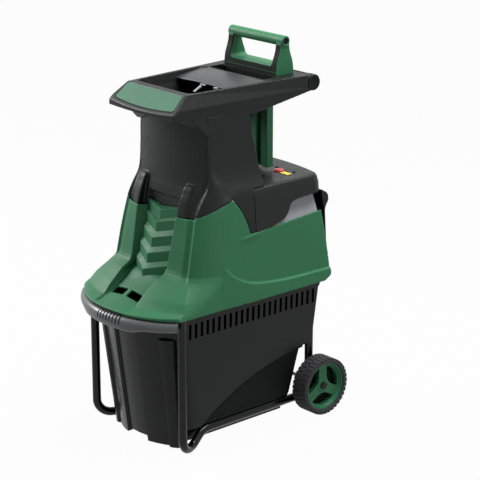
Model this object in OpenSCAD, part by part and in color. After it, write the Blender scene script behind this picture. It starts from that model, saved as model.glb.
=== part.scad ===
// Electric garden shredder on a two-wheeled tube frame, with a pull-out collecting bin,
// a lift-out feed plunger and a slow cutting drum driven through a two-stage gearbox.
// Front is -Y, the wheels are at the rear, and the ground is z = 0.

/* [Frame] */
// Outside diameter of the frame tube
tube_d = 22; // [18:1:24]
// Wall of the frame tube
tube_wall = 2; // [1.5:0.5:3]
// Distance between the front legs' centre lines
leg_spacing = 352; // [348:1:356]
// Distance of the front legs ahead of the middle
leg_front = 220; // [216:1:222]
// Distance between the bottom rails' centre lines
rail_spacing = 284; // [278:1:288]
// Height of the bottom rails' centre lines
rail_z = 42; // [40:1:46]
// Bend radius of the foot
foot_bend_r = 40; // [32:1:42]

/* [Wheels] */
// Diameter of a wheel over the tread
wheel_d = 155; // [146:1:160]
// Width of the tyre
tyre_w = 50; // [40:1:52]
// Width over both tyres
track_w = 422; // [418:1:430]
// Thickness of the tyre from tread to rim
tyre_t = 14; // [10:1:16]
// Width of the wheel rim
rim_w = 40; // [34:1:40]
// Diameter of the axle
axle_d = 12; // [10:1:14]
// Distance of the axle behind the middle
axle_back = 244; // [242:1:248]
// Length of the spacer between a rear leg and its wheel
spacer_l = 12.4; // [8:0.1:14]

/* [Bin] */
// Width of the bin under its rim
bin_w = 320; // [306:1:322]
// How much narrower the bin is at its bottom
bin_taper = 20; // [12:1:24]
// Wall of the bin
bin_wall = 3; // [2:0.5:4]
// Height of the bin's top edge
bin_top = 358; // [352:1:360]
// Height of the keel that hangs between the rails
keel_z = 15; // [10:1:24]
// Distance of the bin's front ahead of the middle, at the top
bin_front = 272; // [266:1:276]
// How far the bin's front slopes back towards its bottom
bin_rake = 43; // [30:1:48]
// Distance of the bin's back behind the middle, at the top
bin_back = 226; // [216:1:228]
// Radius of the bow of the bin's front
bin_bow_r = 235; // [220:1:250]
// Number of air slots along a side
slot_count = 23; // [15:1:23]
// Width of an air slot
slot_w = 8; // [6:0.5:10]
// Height of an air slot
slot_h = 40; // [30:1:46]
// Distance of the front lip ahead of the middle
lip_front = 321.5; // [318:0.5:324]
// Bow radius of the front lip
lip_r = 278; // [268:1:284]
// Height of the front lip
lip_h = 38; // [30:1:40]
// Depth of the front lip
lip_t = 16; // [12:1:18]

/* [Housing] */
// Height of the housing's bottom edge
split_z = 367; // [366:1:372]
// Width of the housing at its bottom edge
housing_w = 386; // [382:1:390]
// Lean of the housing's sides
side_lean = 4.2; // [3:0.1:5]
// Thickness of the housing's shells
shell_t = 4; // [3:0.5:5]
// Thickness of the base plate
plate_t = 6; // [5:0.5:8]
// Height of the ledge at the top of the side panels
ledge_z = 545; // [540:1:550]
// Height of the top of the motor cover
deck_z = 652; // [648:1:660]
// Distance of the motor cover's back behind the middle
deck_back = 278; // [274:1:282]
// Width of the motor cover
deck_w = 344; // [338:1:348]
// Half the width between the uprights
channel_x = 72; // [68:1:76]
// Height of the top of the green uprights
upright_z = 594; // [588:1:600]
// Number of louvre slats
louvre_count = 4; // [3:1:4]
// Height of the face of one louvre slat
louvre_h = 23; // [18:1:26]

/* [Feed] */
// Width of the feed neck
neck_w = 252; // [244:1:258]
// Distance of the neck's front ahead of the middle
neck_front = 120; // [116:1:124]
// Distance of the neck's back behind the middle
neck_back = 50; // [44:1:54]
// Height of the hopper's rim
rim_z = 906; // [900:1:912]
// Width of the hopper at its front lip
hopper_front_w = 252; // [248:1:258]
// Width of the hopper at its rear handle
hopper_back_w = 300; // [292:1:306]
// Distance of the hopper's front lip ahead of the middle
hopper_front = 196; // [192:1:200]
// Distance of the rear handle's centre behind the middle
handle_back = 246; // [243:1:250]
// Diameter of the rear handle
handle_d = 40; // [36:1:40]

/* [Plunger] */
// Height of the plunger's grip centre
grip_z = 992; // [985:1:1000]
// Diameter of the plunger's grip
grip_d = 27; // [24:1:30]
// Length of the plunger's grip
grip_l = 206; // [198:1:208]
// Width of the plunger's blade
blade_w = 126; // [110:1:140]
// Depth of the plunger's blade
blade_depth = 20; // [16:1:22]
// Distance of the back of the plunger's blade behind the middle
blade_back = 184; // [182:1:190]
// Distance of the plunger's centre behind the middle
plunger_back = 190; // [188:1:192]

/* [Drive] */
// Distance of the cutting drum's axis right of the middle
drum_x = 20; // [16:1:22]
// Height of the cutting drum's axis
drum_z = 470; // [466:1:474]
// Diameter over the drum's knives
drum_d = 90; // [84:1:92]
// Length of the cutting drum
drum_l = 116; // [108:1:118]
// Number of knives on the drum
knife_count = 8; // [6:1:10]
// Distance between the gearbox shafts
gear_centres = 60; // [57:0.5:62]
// Teeth of the motor pinion
motor_teeth = 16; // [14:2:18]
// Teeth of the first large gear
first_teeth = 80; // [74:2:82]
// Teeth of the countershaft pinion
counter_teeth = 14; // [14:2:16]
// Teeth of the drum gear
drum_teeth = 66; // [60:2:68]
// Diameter of the motor
motor_d = 124; // [118:1:128]
// Length of the motor
motor_l = 103; // [98:1:106]

/* [Hidden] */
$fn = 48;
running = 0.05;
fit = 0.15;
gap = 0.3;
leg_x = leg_spacing / 2;
rail_x = rail_spacing / 2;
rear_x = (track_w - tyre_w - rim_w) / 2 - spacer_l - 2 * gap - tube_d / 2;
axle_z = wheel_d / 2;
rail_top = rail_z + tube_d / 2;
plate_top = split_z + plate_t;
half_w = housing_w / 2;

// Half the outer width of the leaning sides at a height
function side_x(z) = half_w - (z - split_z) * tan(side_lean);
// Half the width of the hopper at a distance along Y
function hopper_x(y) = hopper_front_w / 2
    + (hopper_back_w - hopper_front_w) / 2 * (y + hopper_front) / (handle_back + hopper_front);
function unit(v) = v / norm(v);

// Turns an outline given in Y and Z into a solid between two places along X
module prism_x(x0, x1, outline) {
    multmatrix([[0, 0, 1, x0], [1, 0, 0, 0], [0, 1, 0, 0], [0, 0, 0, 1]])
        linear_extrude(x1 - x0) polygon(outline);
}

// Turns an outline given in X and Z into a solid between two places along Y
module prism_y(y0, y1, outline) {
    translate([0, y1, 0]) rotate([90, 0, 0]) linear_extrude(y1 - y0) polygon(outline);
}

module rod_x(y, z, x0, x1, d) {
    translate([x0, y, z]) rotate([0, 90, 0]) cylinder(d = d, h = x1 - x0);
}

module rod_y(x, z, y0, y1, d) {
    translate([x, y0, z]) rotate([-90, 0, 0]) cylinder(d = d, h = y1 - y0);
}

module ring_y(x, z, y0, y1, d_out, d_in) {
    difference() {
        rod_y(x, z, y0, y1, d_out);
        rod_y(x, z, y0 - 1, y1 + 1, d_in);
    }
}

module box(low, high) {
    translate(low) cube(high - low);
}

module both_sides() {
    children();
    mirror([1, 0, 0]) children();
}

// Everything behind a bowed front that is centred on x = 0
module bowed_front(front, r, z0, z1, half, back) {
    translate([0, 0, z0]) linear_extrude(z1 - z0) intersection() {
        translate([-half, -front - 1]) square([2 * half, front + 1 + back]);
        union() {
            translate([0, r - front]) circle(r);
            translate([-half, -front / 2]) square([2 * half, front / 2 + back]);
        }
    }
}

// A straight length of bent tube
module tube_run(p, q, d) {
    w = unit(q - p);
    u = unit(cross(abs(w[2]) > 0.9 ? [1, 0, 0] : [0, 0, 1], w));
    v = cross(w, u);
    multmatrix([[u[0], v[0], w[0], p[0]], [u[1], v[1], w[1], p[1]], [u[2], v[2], w[2], p[2]],
        [0, 0, 0, 1]])
        cylinder(d = d, h = norm(q - p));
}

// Distance from a corner to where its bend starts
function bend_reach(a, b, c, r) = r * tan((180 - acos(unit(a - b) * unit(c - b))) / 2);

// A round bend at corner b of the path a, b, c
module tube_bend(a, b, c, r, d, swell) {
    reach = bend_reach(a, b, c, r);
    start = b + unit(a - b) * reach;
    finish = b + unit(c - b) * reach;
    mid = unit(unit(a - b) + unit(c - b));
    centre = b + mid * norm([r, reach]);
    u = unit(start - centre);
    w = unit(cross(start - centre, finish - centre));
    v = cross(w, u);
    turn = acos(unit(start - centre) * unit(finish - centre));
    multmatrix([[u[0], v[0], w[0], centre[0]], [u[1], v[1], w[1], centre[1]],
        [u[2], v[2], w[2], centre[2]], [0, 0, 0, 1]])
        rotate_extrude(angle = turn) translate([r, 0]) circle(d = d + swell);
}

// A tube along a path, with a round bend at each inner point. The straight runs reach a little
// way into the bends, which are a hair thicker
module bent_tube(path, radii, d, swell) {
    last = len(path) - 1;
    reach = [for (i = [0:last]) i == 0 || i == last ? 0
        : bend_reach(path[i - 1], path[i], path[i + 1], radii[i]) - bend_lap];
    for (i = [0:last - 1]) {
        along = unit(path[i + 1] - path[i]);
        tube_run(path[i] + along * reach[i], path[i + 1] - along * reach[i + 1], d);
    }
    for (i = [1:last - 1])
        tube_bend(path[i - 1], path[i], path[i + 1], radii[i], d, swell);
}

/* The tube frame: front leg, foot, bottom rail and rear leg in one bent tube */
bend_lap = 1;
bend_swell = 0.3;
foot_z = (tube_d + bend_swell) / 2;
foot_inset = 24;
foot_run = 48;
ramp_run = 42;
foot_rise_r = 30;
rail_start_r = 60;
rear_bend_r = 32;
frame_path = [[leg_x, -leg_front, split_z], [leg_x, -leg_front, foot_z],
    [leg_x - foot_inset, -leg_front + foot_run + 4, foot_z],
        [rail_x, -leg_front + foot_run + 4 + ramp_run, rail_z],
    [rear_x, axle_back, rail_z], [rear_x, axle_back, split_z]];
frame_radii = [0, foot_bend_r, foot_rise_r, rail_start_r, rear_bend_r, 0];

module side_frame() {
    difference() {
        bent_tube(frame_path, frame_radii, tube_d, bend_swell);
        bent_tube(frame_path, frame_radii, tube_d - 2 * tube_wall, -bend_swell);
        rod_x(axle_back, axle_z, rear_x - tube_d, rear_x + tube_d, axle_d + 2 * fit);
    }
}

module frame_right() { color("#181a1a") side_frame(); }
module frame_left() { color("#181a1a") mirror([1, 0, 0]) side_frame(); }

/* Axle and wheels */
wheel_out = track_w / 2;
wheel_in = wheel_out - tyre_w;
wheel_mid = wheel_out - tyre_w / 2;
rim_r = wheel_d / 2 - tyre_t;
rim_in = wheel_mid - rim_w / 2;
rim_out = wheel_mid + rim_w / 2;
hub_out = rim_out - 8;
axle_end = hub_out + gap;
cap_d = 20;
cap_t = 5;
bush_wall = 3;
hub_d = 38;
spoke_count = 3;
spoke_w = 24;
disc_t = 12;
rim_wall = 5;

module axle() {
    color("#8f9294") rod_x(axle_back, axle_z, -axle_end, axle_end, axle_d);
}

module axle_spacers() {
    color("#2a2c2d") both_sides() difference() {
        rod_x(axle_back, axle_z, rim_in - gap - spacer_l, rim_in - gap, axle_d + 8);
        rod_x(axle_back, axle_z, rear_x, rim_in, axle_d + 2 * fit);
    }
}

module axle_caps() {
    color("#9a9c9e") both_sides() rod_x(axle_back, axle_z, axle_end, axle_end + cap_t, cap_d);
}

// A ring around the axle of the right wheel
module wheel_ring(x0, x1, r_out, r_in) {
    difference() {
        rod_x(axle_back, axle_z, x0, x1, 2 * r_out);
        rod_x(axle_back, axle_z, x0 - 1, x1 + 1, 2 * r_in);
    }
}

module tyre() {
    shoulder = 4;
    translate([0, axle_back, axle_z]) rotate([0, 90, 0]) rotate_extrude() polygon([
        [rim_r, wheel_in + 3], [rim_r, wheel_out - 3],
        [rim_r + 3, wheel_out], [wheel_d / 2 - shoulder, wheel_out],
        [wheel_d / 2, wheel_out - shoulder], [wheel_d / 2, wheel_in + shoulder],
        [wheel_d / 2 - shoulder, wheel_in], [rim_r + 3, wheel_in]]);
}

module rim() {
    bore = axle_d + 2 * bush_wall;
    difference() {
        union() {
            wheel_ring(rim_in, rim_out, rim_r - fit, rim_r - rim_wall);
            wheel_ring(rim_in, hub_out, hub_d / 2, bore / 2);
            wheel_ring(hub_out - disc_t, hub_out, rim_r - rim_wall + 1, hub_d / 2 - 1);
        }
        for (i = [0:spoke_count - 1]) intersection() {
            wheel_ring(rim_in + 1, rim_out, rim_r - rim_wall - 3, hub_d / 2 + 2);
            translate([0, axle_back, axle_z]) rotate([30 + i * 360 / spoke_count, 0, 0])
                prism_x(rim_in + 1, rim_out,
                    [[spoke_w * 0.6, 0], [rim_r, (rim_r - spoke_w / 2) * sin(60)],
                    [rim_r, -(rim_r - spoke_w / 2) * sin(60)]]);
        }
    }
}

module bush() {
    wheel_ring(rim_in, hub_out, axle_d / 2 + bush_wall, axle_d / 2 + running);
}

module tyre_right() { color("#1b1d1e") tyre(); }
module tyre_left() { color("#1b1d1e") mirror([1, 0, 0]) tyre(); }
module rim_right() { color("#1f5a40") rim(); }
module rim_left() { color("#1f5a40") mirror([1, 0, 0]) rim(); }
module bush_right() { color("#c8c8c4") bush(); }
module bush_left() { color("#c8c8c4") mirror([1, 0, 0]) bush(); }

/* Collecting bin: it slides out forwards between the front legs, on the rails */
bin_floor = rail_top + gap;
step_z = 188;
step_back = 202;
floor_back = 165;
keel_gap = 4;
keel_x = min(rail_x, rear_x) - tube_d / 2 - keel_gap;
rim_flange = 3;
rim_flange_h = 8;
bin_tilt = atan(bin_rake / (bin_top - keel_z));
recess_y = 237;
recess_z = -422;
recess_r = 605;
recess_x = (bin_w - bin_taper) / 2 - 4;

// Side outline of the bin, moved in by its wall
function bin_side(i) = [[-bin_front - 10, bin_top + (i > 0 ? 1 : 0)],
    [bin_back - i, bin_top + (i > 0 ? 1 : 0)],
    [bin_back - 4 - i, step_z + i], [step_back - i, step_z + i],
    [floor_back - i, bin_floor + i], [-bin_front - 10, bin_floor + i]];
// Front outline of the bin above the rails, moved in by its wall
function bin_section(i) = [[-bin_w / 2 + i, bin_top + 1], [bin_w / 2 - i, bin_top + 1],
    [(bin_w - bin_taper) / 2 - i, bin_floor - 1], [-(bin_w - bin_taper) / 2 + i, bin_floor - 1]];

// The raked and bowed front of the bin, as the space behind it
module bin_bow(i) {
    r = bin_bow_r - i;
    intersection() {
        union() {
            translate([0, bin_bow_r - bin_front + bin_rake, keel_z]) rotate([bin_tilt, 0, 0])
                translate([0, 0, -60]) cylinder(r = r, h = bin_top + 60, $fn = 96);
            box([-bin_w, -bin_front / 3, 0], [bin_w, bin_back + 1, bin_top + 2]);
        }
        box([-bin_w, -bin_front - 20, 0], [bin_w, bin_back + 1, bin_top + 2]);
    }
}

// The bin as a block, moved in by its wall, with the arched recess low on both sides
module bin_block(i) {
    difference() {
        intersection() {
            union() {
                intersection() {
                    prism_x(-bin_w, bin_w, bin_side(i));
                    prism_y(-bin_front - 20, bin_back + 1, bin_section(i));
                }
                box([-keel_x + i, -bin_front - 10, keel_z + i],
                    [keel_x - i, floor_back - i - 8, bin_floor + i + 1]);
            }
            bin_bow(i);
        }
        both_sides() rod_x(recess_y, recess_z, recess_x - i, bin_w, 2 * (recess_r + i));
    }
}

module collecting_bin() {
    slot_first = -bin_bow_r + bin_bow_r * 0.2;
    slot_pitch = (bin_back - 12 - slot_first) / slot_count;
    color("#1d2020") difference() {
        union() {
            bin_block(0);
            intersection() {
                box([-bin_w / 2 - rim_flange, -bin_front / 2, bin_top - rim_flange_h],
                    [bin_w / 2 + rim_flange, bin_back, bin_top]);
                prism_x(-bin_w, bin_w, bin_side(0));
            }
        }
        bin_block(bin_wall);
        for (i = [0:slot_count - 1])
            box([-bin_w, slot_first + (i + 0.5) * slot_pitch - slot_w / 2,
                bin_top - rim_flange_h - 10 - slot_h],
                [bin_w, slot_first + (i + 0.5) * slot_pitch + slot_w / 2, bin_top - rim_flange_h - 10]);
    }
}

lip_top = split_z - 1.5;
shelf_z = lip_top - lip_h * 0.62;
shelf_t = 5;

module bin_handle() {
    ahead = leg_front + tube_d / 2 + 2;
    color("#2b2e2f") {
        difference() {
            union() {
                intersection() {
                    difference() {
                        bowed_front(lip_front, lip_r, lip_top - lip_h, lip_top, half_w - 2, 0);
                        bowed_front(lip_front - lip_t, lip_r - lip_t, lip_top - lip_h - 1, lip_top + 1,
                            half_w + 2, 0);
                    }
                    box([-half_w, -lip_front - 1, 0], [half_w, -ahead, split_z]);
                }
                intersection() {
                    bowed_front(lip_front - lip_t + 1, lip_r - lip_t + 1, shelf_z, shelf_z + shelf_t,
                        half_w, 0);
                    box([-bin_w / 2 + 12, -lip_front, 0], [bin_w / 2 - 12, -bin_bow_r + 60, split_z]);
                    box([-half_w, -lip_front, 0], [half_w, -ahead, split_z]);
                }
            }
            bin_bow(-fit);
        }
    }
}

/* Interlock slider under the two windows of the front cover */
lock_l = 100;
lock_w = 26;
lock_h = 10;
lock_y = -257;
lock_pad_h = 4;

module bin_lock() {
    color("#101212") {
        box([-lock_l / 2, lock_y - lock_w / 2, plate_top + gap],
            [lock_l / 2, lock_y + lock_w / 2, plate_top + gap + lock_h]);
        for (x = [-window_x, window_x]) translate([x, lock_y, plate_top + gap + lock_h])
            cylinder(d = lock_w / 2, h = lock_pad_h);
    }
}

module lock_guide() {
    color("#202324") for (side = [-1, 1]) translate([0, lock_y + side * (lock_w / 2 + gap + 1.5),
        plate_top])
        translate([-lock_l / 2, -1.5, 0]) cube([lock_l, 3, lock_h - 3]);
}

/* Base plate under the whole housing */
base_x = side_x(plate_top) - shell_t / cos(side_lean) - gap;
plug_l = 30;
ear_l = 40;
ear_w = 14;
throat_low = [-56, -74];
throat_high = [64, 36];
cover_r = lip_r - 4;
cover_front = lip_front - 4;

module base_plate() {
    color("#222526") difference() {
        union() {
            intersection() {
                bowed_front(cover_front - shell_t - gap, cover_r - shell_t - gap, split_z, plate_top,
                    base_x, rear_low - gap);
                box([-base_x, -lip_front, split_z], [base_x, rear_low - gap, plate_top]);
            }
            for (x = [-1, 1]) {
                translate([x * leg_x, -leg_front, split_z - plug_l])
                    cylinder(d = tube_d - 2 * tube_wall - 2 * fit, h = plug_l + 1);
                translate([x * rear_x, axle_back, split_z - plug_l])
                    cylinder(d = tube_d - 2 * tube_wall - 2 * fit, h = plug_l + 1);
                translate([x * leg_x - (x > 0 ? ear_l : 0), -leg_front - ear_w / 2, split_z])
                    cube([ear_l, ear_w, plate_t]);
            }
        }
        box([throat_low[0], throat_low[1], split_z - 1],
            [throat_high[0], throat_high[1], plate_top + 1]);
    }
}

/* Green front cover: two fenders that rise into uprights, with a valley between them */
brow_y = 178;
brow_z = 446;
upright_front = 150;
upright_back = 118;
upright_x = 138;
corner_turn = -44.2;
corner_tilt = 14.7;
flare_turn = -45;
flare_tilt = 37.7;
flare_x = 165;
flare_y = 172;
window_x = 31;
window_w = 42;
window_d = 20;

// Side outline of a fender and its upright, moved in by the shell
function fender_side(i) = [[-lip_front - 10, split_z - (i > 0 ? 1 : 0)], [-lip_front - 10, 382 - i],
    [-288 + i, 404 - i],
    [-232 + i, 432 - i], [-brow_y + i, brow_z - i], [-upright_front + i, upright_z + (i > 0 ? 1 : 0)],
    [-upright_back - i, upright_z + (i > 0 ? 1 : 0)], [-upright_back - i, split_z - (i > 0 ? 1 : 0)]];
// Front outline of the right fender, moved in by the shell
function fender_front(i) = [[channel_x - 8 + i, split_z - 1], [channel_x + i, brow_z],
    [channel_x + i, upright_z + 2],
    [side_x(upright_z + 2) - i, upright_z + 2], [half_w - i, split_z]];

// The slanting corner between the front and a side, cut away above a height
module corner_cut(i, low) {
    intersection() {
        translate([upright_x, -upright_front, upright_z]) rotate([0, -corner_tilt, corner_turn])
            translate([-i, -half_w, -half_w]) cube([half_w, 2 * half_w, 2 * half_w]);
        box([0, -2 * half_w, low], [2 * half_w, 0, cap_top + 20]);
    }
}

// The corner's lower stretch, where it flares out to the bottom edge
module flare_cut(i) {
    intersection() {
        translate([flare_x, -flare_y, brow_z - 2]) rotate([0, -flare_tilt, flare_turn])
            translate([-i, -half_w, -half_w]) cube([half_w, 2 * half_w, 2 * half_w]);
        box([0, -2 * half_w, split_z - 2], [2 * half_w, 0, brow_z - 2]);
    }
}

// Centre line of the valley floor
valley = [[-lip_front - 6, split_z + 2], [-258, 392], [-203, brow_z - 6],
    [-upright_back - 8, brow_z - 2]];

module fender(i) {
    difference() {
        intersection() {
            prism_x(0, half_w, fender_side(i));
            prism_y(-lip_front - 12, 0, fender_front(i));
            bowed_front(cover_front - i, cover_r - i, split_z - 2, upright_z + 4, half_w, 0);
        }
        corner_cut(i, brow_z - 3);
        flare_cut(i);
    }
}

module front_cover() {
    color("#1f5a40") difference() {
        union() {
            both_sides() difference() {
                fender(0);
                fender(shell_t);
            }
            intersection() {
                prism_x(-channel_x - 1, channel_x + 1, concat(valley,
                    [for (i = [3:-1:0]) valley[i] - [0, shell_t]]));
                bowed_front(cover_front, cover_r, split_z, upright_z, half_w, 0);
                prism_y(-lip_front - 12, 0, [[-channel_x + 6, split_z - 2], [channel_x - 6, split_z - 2],
                    [channel_x + 1, brow_z], [channel_x + 1, upright_z], [-channel_x - 1, upright_z],
                    [-channel_x - 1, brow_z]]);
            }
        }
        for (x = [-window_x, window_x])
            box([x - window_w / 2, lock_y - window_d / 2, split_z + 10],
                [x + window_w / 2, lock_y + window_d / 2, brow_z]);
        bowed_front(cover_front - shell_t, cover_r - shell_t, split_z - 1, plate_top + gap,
            base_x + gap, 0);
    }
}

/* Chevron louvres between the uprights */
louvre_first = [200, brow_z + 2];
louvre_step = [-14.5, 37];
chevron = 28;
louvre_back = upright_back + 6;

module louvre_panel() {
    half = channel_x - gap;
    color("#2a6a4c") {
        for (i = [0:louvre_count - 1]) {
            tip = louvre_first[0] + i * louvre_step[0];
            low = louvre_first[1] + i * louvre_step[1];
            translate([0, 0, low]) linear_extrude(louvre_h) polygon([[0, -tip], [half, -tip + chevron],
                [half, -louvre_back], [-half, -louvre_back], [-half, -tip + chevron]]);
        }
        box([-half, -louvre_back - 1, louvre_first[1]], [half, -louvre_back + 3, upright_z]);
    }
}

/* Green side panels, leaning in towards the top */
panel_front = -upright_back + gap;
border_z = upright_z + 16;
peak_y = -47;
peak_z = 636;
ledge_front = 4;
ledge_back = 244;
ledge_rise = 13;
heel_y = 270;
heel_z = 380;
swell_t = 3;

// Lays an outline given in Y and Z on the leaning right side, from its face outwards or inwards
module on_side(from, thick, outline) {
    translate([half_w, 0, split_z]) rotate([0, -side_lean, 0]) translate([0, 0, -split_z])
        prism_x(from, from + thick, outline);
}

module side_panel() {
    outline = [[panel_front, split_z], [axle_back, split_z], [heel_y, heel_z],
        [ledge_back, ledge_z + ledge_rise],
        [ledge_front, ledge_z - 4], [-14, ledge_z + 48], [peak_y, peak_z], [panel_front, border_z]];
    swell = [[panel_front + 1, split_z + 1], [axle_back, split_z + 1], [heel_y, heel_z],
        [heel_y - 3, 403],
        [60, 411], [-18, 421], [-62, 442]];
    on_side(-shell_t, shell_t, outline);
    on_side(-1, swell_t + 1, swell);
}

module side_panel_right() { color("#1f5a40") side_panel(); }
module side_panel_left() {
    color("#1f5a40") difference() {
        mirror([1, 0, 0]) side_panel();
        rod_x(adjuster_y, drum_z, -half_w - 10, -half_w + 40, screw_d + 4);
    }
}

/* Dark upper housing: shoulders around the neck, caps on the uprights and skirts on the sides */
shoulder_low = peak_z + 3;
shoulder_top = 690;
cap_top = 648;
brow_h = 14;
brow_sweep = 18;
skirt_back = 22;

module shoulder_block(i) {
    low_x = side_x(shoulder_low) - i;
    hull() {
        box([-low_x, panel_front + i, shoulder_low - (i > 0 ? 1 : 0)],
            [low_x, skirt_back - i, shoulder_low + 8 - i]);
        box([-neck_w / 2 - 6 + i, -neck_front + 24 + i, shoulder_top - 4 - i],
            [neck_w / 2 + 6 - i, skirt_back - i, shoulder_top - i]);
    }
}

module upright_cap() {
    low = upright_z + gap;
    high = cap_top + 2;
    back = panel_front + 2;
    difference() {
        intersection() {
            prism_x(0, half_w, [[-upright_front, low], [-upright_front + 20, cap_top - 10],
                [-upright_front + 32, cap_top], [back, cap_top], [back, low]]);
            prism_y(-upright_front - 1, 0, [[channel_x, low], [channel_x, high],
                [side_x(high), high], [side_x(low), low]]);
        }
        corner_cut(0, low - 1);
        box([channel_x + shell_t, -upright_front + 22, low - 1],
            [upright_x - 12, back - shell_t, cap_top - 2 * shell_t]);
    }
}

// The dark brow over the top louvre, which joins the two caps in front of the neck
module neck_brow() {
    half = channel_x + 2;
    translate([0, 0, upright_z + gap]) linear_extrude(brow_h) polygon([[-half, -neck_front - 2 * gap],
        [-half, -upright_front + brow_sweep], [0, -upright_front - 4],
            [half, -upright_front + brow_sweep],
        [half, -neck_front - 2 * gap]]);
}

module upper_housing() {
    skirt = [[panel_front, border_z + gap], [peak_y, peak_z + gap], [-14 + gap, ledge_z + 48 + gap],
        [ledge_front + gap, ledge_z - 4 + gap], [skirt_back, ledge_z - 3 + gap],
            [skirt_back, shoulder_low + 2],
        [panel_front, shoulder_low + 2]];
    color("#2b2e2f") difference() {
        union() {
            difference() {
                shoulder_block(0);
                shoulder_block(shell_t);
            }
            both_sides() {
                on_side(-shell_t, shell_t, skirt);
                upright_cap();
            }
            neck_brow();
        }
        neck_outline(gap, upright_z - 10, shoulder_top + 5);
    }
}

/* Motor cover: the flat deck behind the neck, with its side skirts */
deck_r = 604;
skirt_z = deck_z - 46;
deck_t = 4;
deck_front = skirt_back + gap;

// Outline of the deck, moved in by a wall, between two heights
module deck_block(i, z0, z1) {
    translate([0, 0, z0]) linear_extrude(z1 - z0) intersection() {
        translate([-deck_w / 2 + i, deck_front + i]) square([deck_w - 2 * i, deck_back]);
        translate([0, deck_back - deck_r]) circle(deck_r - i, $fn = 96);
    }
}

module motor_cover() {
    color("#33363a") difference() {
        deck_block(0, skirt_z, deck_z);
        deck_block(shell_t, skirt_z - 1, deck_z - deck_t);
        neck_outline(gap, skirt_z - 1, deck_z + 1);
        translate([stop_place[0], stop_place[1], deck_z - 10]) cylinder(d = stop_d + 2 * gap, h = 20);
        translate([start_place[0], start_place[1], deck_z - 10]) cylinder(d = start_d + 2 * gap, h = 20);
        for (p = screw_places) translate([p[0], p[1], deck_z - 10])
            cylinder(d = screw_shank + 2 * fit, h = 20);
    }
}

/* Grey sloping vent panels between the side panels and the motor cover */
vent_x = 150;

module vent_panel() {
    low_z = ledge_z - 6;
    low_x = side_x(low_z) - shell_t / cos(side_lean) - gap;
    top_z = deck_z - deck_t - gap;
    prism_y(deck_front + shell_t + gap, ledge_back - 2,
        [[low_x, low_z], [vent_x, skirt_z - 6], [vent_x, top_z], [vent_x - shell_t, top_z],
        [vent_x - shell_t, skirt_z - 6], [low_x - shell_t, low_z]]);
}

module vent_panel_right() { color("#8a8d90") vent_panel(); }
module vent_panel_left() { color("#8a8d90") mirror([1, 0, 0]) vent_panel(); }

/* Rear cover with the mains inlet */
rear_low = 262;
rear_high = 256;
hood_z = skirt_z - 10;
hood_out = 20;
inlet_w = 44;
inlet_h = 34;
inlet_depth = 30;
inlet_z = 520;
pin_d = 5;

module rear_cover() {
    outline = [[rear_low, split_z + gap], [rear_low + shell_t, split_z + gap],
        [rear_high + shell_t + 6, hood_z - 36],
        [rear_high + hood_out + shell_t, hood_z - 20], [rear_high + hood_out, hood_z],
            [rear_high + shell_t, skirt_z - gap],
        [rear_high, skirt_z - gap], [rear_high + 4, hood_z - 40]];
    color("#1a1c1d") difference() {
        intersection() {
            prism_x(-half_w, half_w, outline);
            prism_y(rear_high - 20, rear_high + 60, [[-base_x, split_z], [base_x, split_z],
                [side_x(skirt_z) - shell_t - 2, skirt_z], [-side_x(skirt_z) + shell_t + 2, skirt_z]]);
        }
        box([-inlet_w / 2 - fit, rear_high - 30, inlet_z - inlet_h / 2 - fit],
            [inlet_w / 2 + fit, rear_high + 40, inlet_z + inlet_h / 2 + fit]);
    }
}

module mains_inlet() {
    back = rear_low + 6;
    color("#0f1011") difference() {
        box([-inlet_w / 2, back - inlet_depth, inlet_z - inlet_h / 2],
            [inlet_w / 2, back, inlet_z + inlet_h / 2]);
        box([-inlet_w / 2 + 4, back - inlet_depth + 5, inlet_z - inlet_h / 2 + 4],
            [inlet_w / 2 - 4, back + 1, inlet_z + inlet_h / 2 - 4]);
        for (p = pin_places) rod_y(p[0], p[1], back - inlet_depth - 1, back, pin_d + 2 * fit);
    }
}

pin_places = [[-10, inlet_z - 4], [10, inlet_z - 4], [0, inlet_z + 6]];

module inlet_pins() {
    back = rear_low + 6;
    color("#c9b36a") for (p = pin_places) rod_y(p[0], p[1], back - inlet_depth - 6, back - 10, pin_d);
}

/* Feed neck, the throat under it, and the hopper on top */
neck_r = 380;
neck_low = upright_z - 14;
neck_top = 846;
neck_wall = 4;

// The neck's bowed outline, grown by a clearance, between two heights
module neck_outline(grow, z0, z1) {
    bowed_front(neck_front + grow, neck_r + grow, z0, z1, neck_w / 2 + grow, neck_back + grow);
}

module feed_neck() {
    color("#2b2e2f") difference() {
        neck_outline(0, neck_low, neck_top);
        neck_outline(-neck_wall, neck_low - 1, neck_top + 1);
    }
}

cutter_low = [-70, -88];
cutter_high = [78, 50];
cutter_wall = 6;
cutter_top = 534;

module throat_block(i) {
    hull() {
        box([-neck_w / 2 + i, -neck_front + 22 + i, neck_low - 5],
            [neck_w / 2 - i, neck_back - i, neck_low - (i > 0 ? -1 : 0)]);
        box([cutter_low[0] + i, cutter_low[1] + i, cutter_top - (i > 0 ? 1 : 0)],
            [cutter_high[0] - i, cutter_high[1] - i, cutter_top + 5]);
    }
}

module feed_throat() {
    color("#3a3d3f") difference() {
        throat_block(0);
        throat_block(cutter_wall);
    }
}

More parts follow.
